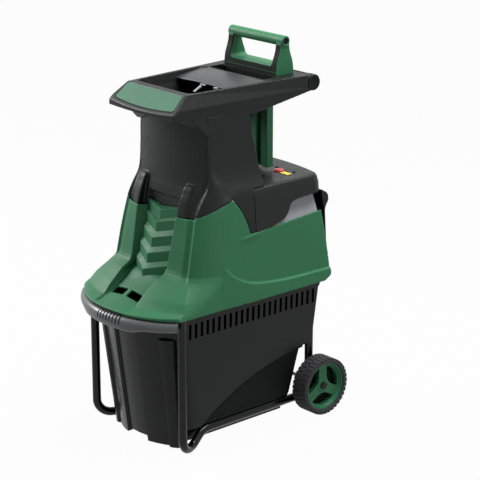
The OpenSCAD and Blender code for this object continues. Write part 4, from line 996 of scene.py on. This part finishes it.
@dataclass
class DarkShell:
    """The charcoal upper housing, the neck that rises from it and the motor cover behind it."""

    green: GreenBody
    neck_top: float = 846.0
    deck_z: float = 652.0
    deck_r: float = 604.0
    deck_back: float = 278.0

    @staticmethod
    def _plan(z: float, ridge: Flat, front: float, side: float, tangent: float, back: float, spread: float) -> list[Place]:
        """Draws the plan of the shoulders or the neck at a height.

        Args:
            z: The height.
            ridge: The corner's ridge, with a groove before it.
            front: How far the front reaches at the middle.
            side: Half the width.
            tangent: Where the bend from the ridge has reached the side.
            back: Where the plan ends at the back.
            spread: Width and depth of the groove, against the one on the green uprights.

        Returns:
            Points around the plan.
        """
        rx, ry = ridge
        last = rx - 26.0 * spread
        right = [(0.0, front)] + [(last * k / 8, front + (ry - front) * (last * k / 8 / rx) ** 2) for k in range(1, 9)]
        slope = right[-1][1]
        for dx, dy in GreenBody.groove:
            right.append((rx - dx * spread, slope + (ry - slope) * (26.0 - dx) / 26.0 + dy * (0.35 + 0.65 * spread)))
        right += [(rx, ry)] + bending((rx, ry), (side, tangent)) + [(side, back)]
        return [(x, y, z) for x, y in right] + [(-x, y, z) for x, y in reversed(right[1:])]

    @staticmethod
    def passage(grow: float = 0.0) -> list[Flat]:
        """Draws the way down through the neck.

        Args:
            grow: How far outside the passage.

        Returns:
            The outline's points.
        """
        right = [(60.0, -110.5), (108.0, -95.0), (116.0, -86.0), (121.0, -70.0), (121.5, 45.8)]
        return [(0.0, -115.5 - grow)] + [(x + grow, y - grow if y < 0 else y + grow) for x, y in right] + [
            (-x - grow, y - grow if y < 0 else y + grow) for x, y in reversed(right)]

    def _cap(self) -> Workpiece:
        """Makes the rounded cap on the right upright."""
        profile = [(-152.6, 593.9)] + flowing([(-152.4, 595.0), (-147.5, 612.0), (-142.0, 630.0), (-137.5, 641.5), (-133.8, 648.5),
                                               (-131.0, 655.0), (-127.5, 662.5), (-122.0, 668.5), (-113.0, 672.0),
                                               (-98.0, 673.5)], 4) + [(-84.0, 674.0), (-84.0, 593.9)]
        rings = []
        for x, share, lean in ((75.6, 0.97, 0.0), (77.6, 1.0, 0.0), (98.0, 1.0, 5.0), (104.0, 0.985, 7.5), (108.5, 0.95, 10.0),
                               (111.0, 0.88, 12.5)):
            rings.append([(x, -90.0 + (y + lean + 90.0) * share, 593.9 + (z - 593.9) * share) for y, z in profile])
        return Workpiece.loft(rings)

    def _skirt(self) -> Workpiece:
        """Makes the right skirt over the green side."""
        half = self.green.half_w
        edge = [(-48.6, 637.0)] + flowing(
            [(-44.6, 635.4), (-23.6, 607.4), (-7.6, 577.4), (2.4, 547.4), (8.4, 541.9)], 4)
        plate = Workpiece.prism(Axis.X, half - 4.2, half, edge + [(22.0, 543.0), (22.0, 640.0)])
        return self.green._on_side(plate)

    def shoulders(self) -> None:
        """Makes the upper housing and the neck in one piece."""
        side = self.green.side_x
        rows = [(592.0, (136.4, -140.0), -128.0, side(592.0), -61.0, 22.0, 1.0), (606.0, (136.2, -135.5), -127.0, side(606.0), -59.0, 22.0, 1.0),
                (620.0, (136.0, -129.0), -126.5, side(620.0), -56.0, 22.0, 1.0), (636.0, (136.0, -119.5), -126.0, side(636.0), -53.0, 22.0, 0.95),
                (648.0, (136.0, -111.0), -124.5, 170.5, -52.0, 22.0, 0.85), (652.0, (136.0, -108.0), -124.0, 168.2, -53.0, 22.0, 0.8),
                (652.8, (136.0, -107.4), -124.0, 167.8, -53.0, 62.0, 0.8), (658.0, (136.0, -104.0), -123.0, 164.5, -54.0, 63.0, 0.75),
                (668.0, (136.0, -99.0), -121.5, 157.5, -58.0, 64.0, 0.65), (680.0, (136.0, -96.0), -120.5, 150.0, -64.0, 65.0, 0.55),
                (694.0, (135.6, -95.0), -120.0, 143.8, -70.0, 65.0, 0.5), (710.0, (135.0, -94.6), -120.0, 139.5, -75.0, 64.0, 0.45),
                (730.0, (134.2, -94.4), -120.0, 136.6, -80.0, 62.0, 0.42), (752.0, (133.4, -94.3), -120.0, 134.6, -82.0, 58.0, 0.42),
                (800.0, (132.2, -94.3), -120.0, 133.0, -82.0, 47.0, 0.42), (846.0, (131.2, -94.0), -120.0, 131.8, -82.0, 41.0, 0.42)]
        shell = Workpiece.loft([self._plan(*row) for row in rows])
        below = [(-175.0, 583.4), (-138.0, 599.4), (-49.0, 638.2), (-44.6, 635.4), (-24.0, 607.4), (-15.0, 592.0), (-15.0, 560.0),
                 (-175.0, 560.0)]
        for mirror in (False, True):
            space = Workpiece.prism(Axis.X, self.green.split_x, 260.0, below)
            shell.cut(space.flip() if mirror else space)
        lip = [(-59.5, 593.5 + 15.0), (0.0, 593.5), (59.5, 593.5 + 15.0), (59.5, 631.0), (-59.5, 631.0)]
        shell.cut(Workpiece.stock((-59.5, -190.0, 560.0), (59.5, -112.0, 631.0)))
        shell.fuse(Workpiece.prism(Axis.Y, -120.5, -105.0, lip))
        under = [(0.0, -112.0), (118.0, -108.0), (126.0, -104.0), (148.0, -70.0), (166.0, -45.0), (166.0, 30.0)]
        shell.cut(Workpiece.prism(Axis.Z, 560.0, 634.0, under + [(-x, y) for x, y in reversed(under[1:])]))
        shell.cut(Workpiece.prism(Axis.Z, 560.0, 860.0, self.passage()))
        shell.fuse(self._cap(), self._cap().flip())
        for sign in (-1, 1):
            edge = sorted((sign * 70.0, sign * 114.0))
            shell.fuse(Workpiece.stock((edge[0], -101.0, 594.0), (edge[1], -92.0, 694.0)))
        shell.fuse(self._skirt(), self._skirt().flip())
        shell.soften(1.7, 4, 0.4)
        shell.finish("upper_shell", "chassis", DARK, "dark_plastic", 50.0, ["upper_housing", "feed_neck"])

    def _deck_plan(self, z: float, half: float, inset: float, front: float = 22.4) -> list[Place]:
        """Draws the deck's plan at a height.

        Args:
            z: The height.
            half: Half the width.
            inset: How far the bowed back is moved in.
            front: Where the plan starts.

        Returns:
            Points around the plan.
        """
        radius = self.deck_r - inset
        top = self.deck_back - self.deck_r

        def back(x: float) -> float:
            """Gives the bowed back's place at a distance from the middle."""
            return top + math.sqrt(radius * radius - x * x)

        soft = 20.0
        right = [(half, front), (half, back(half) - soft * 1.3), (half - soft * 0.12, back(half) - soft * 0.6),
                 (half - soft * 0.45, back(half - soft * 0.45) - soft * 0.2), (half - soft, back(half - soft))]
        right += [((half - soft) * (1 - k / 6), back((half - soft) * (1 - k / 6))) for k in range(1, 7)]
        return [(x, y, z) for x, y in right] + [(-x, y, z) for x, y in reversed(right[:-1])]

    def deck(self) -> None:
        """Makes the motor cover with its stepped deck, swept skirts and button holes."""
        side = self.green.side_x
        outer = Workpiece.loft([self._deck_plan(z, half, inset) for z, half, inset in (
            (606.0, side(606.0), 0.0), (633.0, side(633.0), 1.5), (636.5, 171.8, 3.0), (645.0, 170.0, 4.5),
            (649.5, 167.5, 7.0), (651.6, 163.0, 11.5), (652.0, 158.0, 16.0))])
        outer.cut(Workpiece.loft([self._deck_plan(z, half, inset, 26.5) for z, half, inset in (
            (590.0, side(606.0) - 5, 5.0), (634.0, 166.0, 8.0), (646.5, 160.0, 14.0))]))
        half = self.green.half_w
        sweep = flowing([(22.4, 541.6), (74.0, 547.6), (108.0, 555.5), (126.0, 565.0), (136.0, 580.0), (143.0, 593.0),
                         (156.0, 600.0), (180.0, 603.0), (236.0, 606.0)], 5)
        for mirror in (False, True):
            plate = Workpiece.prism(Axis.X, half - 4.2, half, sweep + [(236.0, 612.0), (22.4, 612.0)])
            plate = self.green._on_side(plate)
            outer.fuse(plate.flip() if mirror else plate)
        outer.cut(Workpiece.stock((-132.0, -100.0, 580.0), (132.0, 60.0, 680.0)))
        for place, diameter in (((81.0, 188.0), 28.8), ((22.0, 198.0), 22.8), ((53.0, 207.0), 5.0), ((117.0, 208.0), 5.0),
                                ((92.0, 124.0), 5.0), ((-117.0, 208.0), 5.0), ((-92.0, 124.0), 5.0)):
            outer.cut(Workpiece.rod((*place, 630.0), (*place, 670.0), diameter, 48))
        outer.round_edges(1.2, 2, 40)
        outer.finish("motor_deck", "chassis", DECK, "deck_plastic", 40.0, ["motor_cover"])

    def back(self) -> None:
        """Makes the rear cover with its hood, air slots and inlet cut-out."""
        outline = [(262.0, 367.3), (266.0, 367.3), (266.3, 552.0), (270.0, 562.0), (280.0, 576.0), (279.0, 590.0),
                   (274.0, 597.0), (260.0, 605.6), (256.0, 605.6), (258.0, 590.0), (262.0, 560.0)]
        cover = Workpiece.prism(Axis.X, -185.0, 185.0, outline)
        cover.common(Workpiece.prism(Axis.Y, 230.0, 300.0, [(-188.0, 360.0), (188.0, 360.0), (169.5, 610.0), (-169.5, 610.0)]))
        cover.cut(Workpiece.stock((-22.4, 240.0, 502.6), (22.4, 300.0, 537.4)))
        for k in range(7):
            low = 412.0 + 13.0 * k
            slot = Workpiece.prism(Axis.Y, 250.0, 280.0, rounded_box((-34.0, low), (74.0, low + 6.0), 2.9, 4))
            cover.cut(slot)
        cover.round_edges(1.3, 2, 35)
        cover.finish("rear_shell", "chassis", BLACK, "dark_plastic", stands_for=["rear_cover"])


@dataclass
class Feed:
    """The hopper with its plate, hood and inner tabs, and the handle behind it."""

    rim_z: float = 906.0
    front_y: float = -196.0
    back_y: float = 246.0
    bow: float = 7.5
    crease_z: float = 873.0
    handle_z: float = 886.0
    plate_low: Flat = (-191.0, 870.0)
    plate_high: Flat = (-146.0, 908.0)
    mouth: tuple[tuple[float, ...], ...] = (
        (838.0, 84.0, -84.0, 88.0, 34.0), (855.0, 87.0, -91.0, 96.0, 34.0), (868.0, 92.0, -103.0, 101.0, 30.0),
        (882.0, 98.0, -117.0, 104.0, 24.0), (898.0, 102.5, -126.5, 107.0, 18.0), (907.5, 104.5, -129.0, 109.0, 15.0))

    def _section(self, y: float) -> list[Place]:
        """Draws the hopper's outer section at a place along it."""
        crease, rim = reading(((self.front_y, 126.0, 105.6), (self.back_y, 150.0, 144.0)), y)
        right = [(rim, self.rim_z), (crease, self.crease_z), (134.0, 800.0)]
        return [(a, y, b) for a, b in right] + [(-a, y, b) for a, b in reversed(right)]

    def _front(self, x: float) -> float:
        """Gives the bowed front's place at a distance from the middle."""
        return self.front_y - self.bow * (1 - (x / 126.0) ** 2)

    def _plate(self, grow: float, low: float, high: float) -> Workpiece:
        """Makes the sloping front plate, or the recess for it.

        Args:
            grow: How much wider than the plate.
            low: Underside, from the slope.
            high: Top side, from the slope.

        Returns:
            The plate.
        """
        run = math.dist(self.plate_low, self.plate_high)
        tilt = math.degrees(math.atan2(self.plate_high[1] - self.plate_low[1], self.plate_high[0] - self.plate_low[0]))
        lower = [(x, 4.0 - 9.0 * (1 - (x / 114.0) ** 2)) for x in (-106.0 + 212.0 * k / 12 for k in range(13))]
        outline = [(-112.5, 7.0)] + lower + [(112.5, 7.0), (107.0, run - 10.0), (102.0, run - 6.0), (-102.0, run - 6.0), (-107.0, run - 10.0)]
        wide = [(a * (1 + grow / 110), b + (grow if b > run / 2 else -grow)) for a, b in outline]
        piece = Workpiece.prism(Axis.Z, low, high, wide)
        return piece.turn(Axis.X, tilt, (0.0, 0.0, 0.0)).shift((0.0, *self.plate_low))

    def _mouth(self) -> Workpiece:
        """Makes the bowl-shaped mouth as a block."""
        rings = []
        for z, half, low, high, radius in self.mouth:
            ring = rounded_box((-half, low), (half, high), radius)
            rings.append([(x * (1 + 0.0007 * (y + 129.0)), y, z) for x, y in ring])
        return Workpiece.loft(rings)

    def hopper(self) -> None:
        """Makes the hopper and its plate."""
        slope = (self.plate_high[1] - self.plate_low[1]) / (self.plate_high[0] - self.plate_low[0])
        body = Workpiece.loft([self._section(-212.0), self._section(self.back_y)])
        body.common(Workpiece.prism(Axis.X, -200.0, 200.0, [
            (-212.0, 850.9), (-212.0, self.plate_low[1] + (-212.0 - self.plate_low[0]) * slope),
            (self.plate_low[0] + (self.rim_z - self.plate_low[1]) / slope, self.rim_z), (self.back_y, self.rim_z),
            (self.back_y, 868.0), (114.0, 842.0), (-104.0, 802.0), (-140.0, 846.0), (-190.0, 850.9)]))
        arc = [(x, self._front(x)) for x in (-160.0 + 8.0 * k for k in range(41))]
        body.common(Workpiece.prism(Axis.Z, 700.0, 1000.0, arc + [(160.0, 300.0), (-160.0, 300.0)]))
        for sign in (-1, 1):
            body.fuse(Workpiece.rod((sign * 126.0, self.back_y, self.handle_z), (sign * 148.2, self.back_y, self.handle_z), 42.6, 96))
        body.cut(self._mouth(), Workpiece.stock((-104.0, 112.0, 866.0), (104.0, 159.8, 910.0)))
        body.cut(Workpiece.prism(Axis.Z, 780.0, 846.3, DarkShell.passage(9.2)))
        body.cut(Workpiece.stock((-66.0, 161.0, 790.0), (66.0, 187.0, 910.0)))
        body.cut(Workpiece.rod((-200.0, self.back_y, self.handle_z), (200.0, self.back_y, self.handle_z), 40.4, 96))
        body.cut(self._plate(1.1, -2.2, 30.0))
        body.soften(1.8, 3, 0.42)
        body.finish("hopper_shell", "chassis", DARK, "dark_plastic", 45.0, ["hopper"])
        plate = self._plate(0.0, -2.6, 0.2).round_edges(0.8, 2)
        plate.finish("hopper_front_plate", "chassis", PLATE_GREEN, "plate_green", stands_for=["hopper_plate"])

    def hood(self) -> None:
        """Makes the hood over the rear of the mouth and its two pale tabs."""
        rings = []
        for y, edge, rise in ((8.0, 890.5, 5.0), (10.0, 892.0, 5.0), (34.0, 896.5, 5.0), (70.0, 900.5, 3.6), (109.5, 903.2, 1.6)):
            half = 102.0 * (1 + 0.0007 * (y + 129.0))
            across = [half * (k / 8 - 1) for k in range(17)]
            over = [(x, y, edge + rise * (1 - (x / half) ** 2)) for x in across]
            rings.append(over + [(x, yy, z - 3.4) for x, yy, z in reversed(over)])
        hood = Workpiece.loft(rings).round_edges(0.8, 2, 40)
        hood.finish("mouth_hood", "chassis", HOOD, "deck_plastic", 40.0, ["hopper_hood"])
        bar = Workpiece.stock((-11.5, -24.0, 888.0), (-4.5, 10.0, 891.5)).turn(Axis.X, 26.0, (0.0, 9.0, 891.0)).round_edges(0.8, 2)
        foot = Workpiece.stock((-11.5, 3.0, 888.6), (6.0, 8.5, 892.2)).round_edges(0.8, 2)
        stub = Workpiece.stock((41.0, 1.0, 888.0), (53.0, 9.0, 892.0)).round_edges(0.8, 2)
        bar.gather(foot, stub)
        bar.finish("mouth_tabs", "chassis", TAB, "grey_plastic")

    def handle(self) -> None:
        """Makes the tube handle behind the hopper, with grip notches along its top."""
        ring = [(-148.0, 20.0), (-149.0, 19.3), (-149.0, 18.2), (-138.0, 18.0), (138.0, 18.0), (149.0, 18.2), (149.0, 19.3), (148.0, 20.0)]
        tube = Workpiece.turned(Axis.X, (0.0, self.back_y, self.handle_z), ring, 72)
        notch = Workpiece.stock((-117.2, self.back_y - 4.5, self.rim_z - 2.4), (-114.8, self.back_y + 6.5, self.rim_z + 3.0))
        rest = [notch.copy().shift((6.0 * k, 0.0, 0.0)) for k in range(1, 39)]
        tube.cut(notch.gather(*rest))
        tube.finish("rear_tube_handle", "chassis", DARK, "dark_plastic", 40.0, ["rear_handle"])
        end = [(138.5, 0.01), (147.2, 0.01), (147.8, 13.0), (148.9, 15.5), (148.9, 17.9), (138.5, 17.9)]
        cap = Workpiece.turned(Axis.X, (138.5, self.back_y, self.handle_z), end, 64)
        cap.gather(cap.mirrored())
        cap.finish("handle_end_caps", "chassis", MATT, "dark_plastic", 40.0, ["handle_caps"])

    def build(self) -> None:
        """Makes the hopper's pieces."""
        self.hopper()
        self.hood()
        self.handle()


@dataclass
class Plunger:
    """The feed plunger: a tray with two cheeks and a tube grip over a ribbed blade."""

    centre_y: float = 190.0
    seat_z: float = 906.3
    grip_z: float = 992.0
    grip_r: float = 13.5
    half: float = 99.0
    depth: float = 30.0

    def _edge(self, inset: float, sign: int) -> list[Flat]:
        """Draws one edge of a cheek from the seat up to the grip.

        Args:
            inset: How far inside the edge.
            sign: -1 for the front edge and 1 for the back edge.

        Returns:
            Points along the edge.
        """
        rows = [(30.0, 0.0), (29.0, 16.0), (26.0, 34.0), (20.0, 50.0), (16.0, 64.0), (14.5, 76.0), (13.0, 86.0)]
        return flowing([(self.centre_y + sign * (a - inset), self.seat_z + b) for a, b in rows], 3)

    def _opening(self) -> Workpiece:
        """Makes the space between the cheeks, over the tray."""
        low, high = (-self.half + 17.5, self.seat_z + 21.0), (self.half - 17.5, 1040.0)
        return Workpiece.prism(Axis.Y, 100.0, 300.0, rounded_box(low, high, 12.0, 6))

    def build(self) -> None:
        """Makes the plunger's frame, the matt black band that paints shade on its front edges, its blade and its grip.
        """
        tray = Workpiece.prism(Axis.X, -self.half, self.half, self._edge(0.0, -1) + list(reversed(self._edge(0.0, 1))))
        tray.cut(self._opening())
        for x in (-63.0, -21.0, 16.0, 58.0):
            tray.fuse(Workpiece.stock((x, 164.0, 660.0), (x + 5.0, 184.0, 908.0)))
        tray.fuse(Workpiece.stock((-63.0, 170.0, 660.0), (63.0, 175.0, 908.0)))
        tray.cut(Workpiece.rod((-130.0, self.centre_y, self.grip_z), (130.0, self.centre_y, self.grip_z), 2 * self.grip_r - 0.6))
        tray.round_edges(1.8, 3, 35)
        tray.finish("plunger_frame", "plunger", GREEN, "green_plastic", 40.0, ["plunger"])
        # A matt black band on the frame's front edges paints the shade of the open channel there.
        shade_band = Workpiece.prism(Axis.X, -self.half + 1.2, self.half - 1.2, self._edge(-0.7, -1)[:-3] + list(reversed(self._edge(3.0, -1)[:-3])))
        shade_band.cut(self._opening(), Workpiece.stock((-130.0, 100.0, 914.2), (130.0, 200.0, 915.8)))
        shade_band.round_edges(0.6, 2, 35)
        shade_band.finish("plunger_painted_shade_band", "plunger", MATT, "dark_plastic", 40.0)
        end = 103.0
        ring = [(-end + 1.5, self.grip_r), (-end, self.grip_r - 1.5), (-end, 9.5), (-end + 1.0, 8.6), (end - 1.0, 8.6),
                (end, 9.5), (end, self.grip_r - 1.5), (end - 1.5, self.grip_r)]
        grip = Workpiece.turned(Axis.X, (0.0, self.centre_y, self.grip_z), ring, 64)
        grip.finish("plunger_tube_grip", "plunger", GREEN, "green_plastic", 40.0, ["plunger_grip"])


@dataclass
class Controls:
    """The buttons on the deck and the adjuster's knob on the left side."""

    deck_z: float = 652.0

    def _button(self, place: Flat, radius: float, crown: float) -> Workpiece:
        """Turns one round button.

        Args:
            place: Its place on the deck.
            radius: Its radius.
            crown: How far it stands above the deck.

        Returns:
            The button.
        """
        top = self.deck_z + crown
        profile = [(top, 0.01), (top - 0.2, radius * 0.45), (top - 0.9, radius * 0.8), (top - 2.4, radius - 0.6), (top - 4.0, radius),
                   (top - 14.0, radius), (top - 14.0, 4.0), (top - 42.0, 4.0), (top - 42.0, 0.01)]
        return Workpiece.turned(Axis.Z, (*place, top), profile, 64)

    def build(self) -> None:
        """Makes the buttons and the knob."""
        self._button((81.0, 188.0), 14.0, 4.6).finish("stop_cap", "stop_button", RED, "red_plastic", 40.0, ["stop_button"])
        self._button((22.0, 198.0), 11.0, 4.0).finish("start_cap", "start_button", START, "start_green", 40.0, ["start_button"])
        knob = Workpiece.turned(Axis.X, (-189.5, -20.0, 470.0), [
            (-207.2, 0.01), (-207.2, 17.0), (-205.5, 22.5), (-202.5, 25.0), (-192.0, 25.0), (-189.5, 23.5), (-189.5, 5.2),
            (-193.2, 5.2), (-193.2, 0.01)], 64)
        for k in range(8):
            turn = math.radians(45 * k)
            y, z = -20 + 25 * math.cos(turn), 470 + 25 * math.sin(turn)
            knob.fuse(Workpiece.rod((-206.0, y, z), (-192.5, y, z), 7.0, 24))
        knob.round_edges(0.8, 2, 35)
        knob.finish("adjuster_hand_knob", "adjuster", BLACK, "dark_plastic", 40.0, ["adjuster_knob"])


@dataclass
class Studio:
    """A plain pale floor, soft light and the camera at the photograph's angle."""

    eye: Place = (3421.0, -2910.1, 1906.8)
    right: Place = (0.664, 0.748, 0.0)
    back: Place = (0.713, -0.633, 0.302)
    lens: float = 137.59

    def _shown(self, tree: bpy.types.NodeTree) -> bpy.types.NodeSocket:
        """Adds the nodes that tell the rays which show the white background from those that light the object.

        Args:
            tree: The node tree of the floor's material or of the world.

        Returns:
            A socket that is 1 for rays from the camera and for mirrored and passed rays, else 0.
        """
        seen = tree.nodes.new("ShaderNodeLightPath")
        shown = seen.outputs["Is Camera Ray"]
        for ray in ("Is Glossy Ray", "Is Transmission Ray"):
            either = tree.nodes.new("ShaderNodeMath")
            either.operation = "MAXIMUM"
            tree.links.new(shown, either.inputs[0])
            tree.links.new(seen.outputs[ray], either.inputs[1])
            shown = either.outputs[0]
        return shown

    def _floor(self) -> None:
        """Lays the pale floor."""
        Workpiece._clear()
        bpy.ops.mesh.primitive_plane_add(size=60.0, location=(0.0, 0.0, 0.0))
        floor = bpy.context.active_object
        floor.name = "studio_floor"
        made = bpy.data.materials.new("floor_white")
        made.use_nodes = True
        nodes, links = made.node_tree.nodes, made.node_tree.links
        nodes["Principled BSDF"].inputs["Base Color"].default_value = (0.25, 0.25, 0.25, 1.0)
        nodes["Principled BSDF"].inputs["Roughness"].default_value = 0.9
        glow = nodes.new("ShaderNodeEmission")
        glow.inputs["Strength"].default_value = 1.0
        share = nodes.new("ShaderNodeMath")
        share.operation = "MULTIPLY"
        share.inputs[1].default_value = 0.97
        mix = nodes.new("ShaderNodeMixShader")
        links.new(self._shown(made.node_tree), share.inputs[0])
        links.new(share.outputs[0], mix.inputs["Fac"])
        links.new(nodes["Principled BSDF"].outputs[0], mix.inputs[1])
        links.new(glow.outputs[0], mix.inputs[2])
        links.new(mix.outputs[0], nodes["Material Output"].inputs["Surface"])
        floor.data.materials.append(made)

    def _lamp(self, name: str, place: Place, size: float, power: float) -> None:
        """Hangs a square lamp that faces the object.

        Args:
            name: Name of the lamp.
            place: Its place, in metres.
            size: Its side, in metres.
            power: Its power, in watts.
        """
        data = bpy.data.lights.new(name, "AREA")
        data.size = size
        data.energy = power
        lamp = bpy.data.objects.new(name, data)
        bpy.context.scene.collection.objects.link(lamp)
        lamp.location = place
        lamp.rotation_euler = (Vector(place) - Vector((0.0, 0.0, 0.5))).to_track_quat("Z", "Y").to_euler()

    def build(self) -> None:
        """Sets up floor, lamps, world and camera."""
        self._floor()
        self._lamp("key_lamp", (-3.1, -1.6, 2.4), 1.6, 175.0)
        self._lamp("fill_lamp", (3.4, 0.2, 1.5), 1.4, 28.0)
        self._lamp("top_lamp", (0.5, 0.8, 3.5), 2.0, 170.0)
        world = bpy.data.worlds.new("studio_world")
        world.use_nodes = True
        nodes, links = world.node_tree.nodes, world.node_tree.links
        nodes["Background"].inputs["Color"].default_value = (1.0, 1.0, 1.0, 1.0)
        strength = nodes.new("ShaderNodeMapRange")
        strength.inputs["To Min"].default_value = 0.07
        strength.inputs["To Max"].default_value = 1.0
        links.new(self._shown(world.node_tree), strength.inputs["Value"])
        links.new(strength.outputs["Result"], nodes["Background"].inputs["Strength"])
        bpy.context.scene.world = world
        right, back = Vector(self.right).normalized(), Vector(self.back).normalized()
        up = back.cross(right).normalized()
        turn = Matrix((right, up, back)).transposed()
        data = bpy.data.cameras.new("photo_camera")
        data.lens = self.lens
        data.sensor_width = 36.0
        data.clip_end = 100.0
        camera = bpy.data.objects.new("photo_camera", data)
        camera.matrix_world = Matrix.Translation(Vector(self.eye) * MM) @ turn.to_4x4()
        bpy.context.scene.collection.objects.link(camera)
        bpy.context.scene.camera = camera
        bpy.context.scene.view_settings.view_transform = "Standard"


def main() -> None:
    """Builds every sub-assembly; the pieces log their face and node counts."""
    logging.basicConfig(level=logging.INFO, format="%(message)s")
    Stand().dress()
    Wheels().build()
    Bin().build()
    green = GreenBody()
    green.build()
    green.louvres()
    dark = DarkShell(green)
    dark.shoulders()
    dark.deck()
    dark.back()
    Feed().build()
    Plunger().build()
    Controls().build()
    Studio().build()


if __name__ == "__main__":
    main()
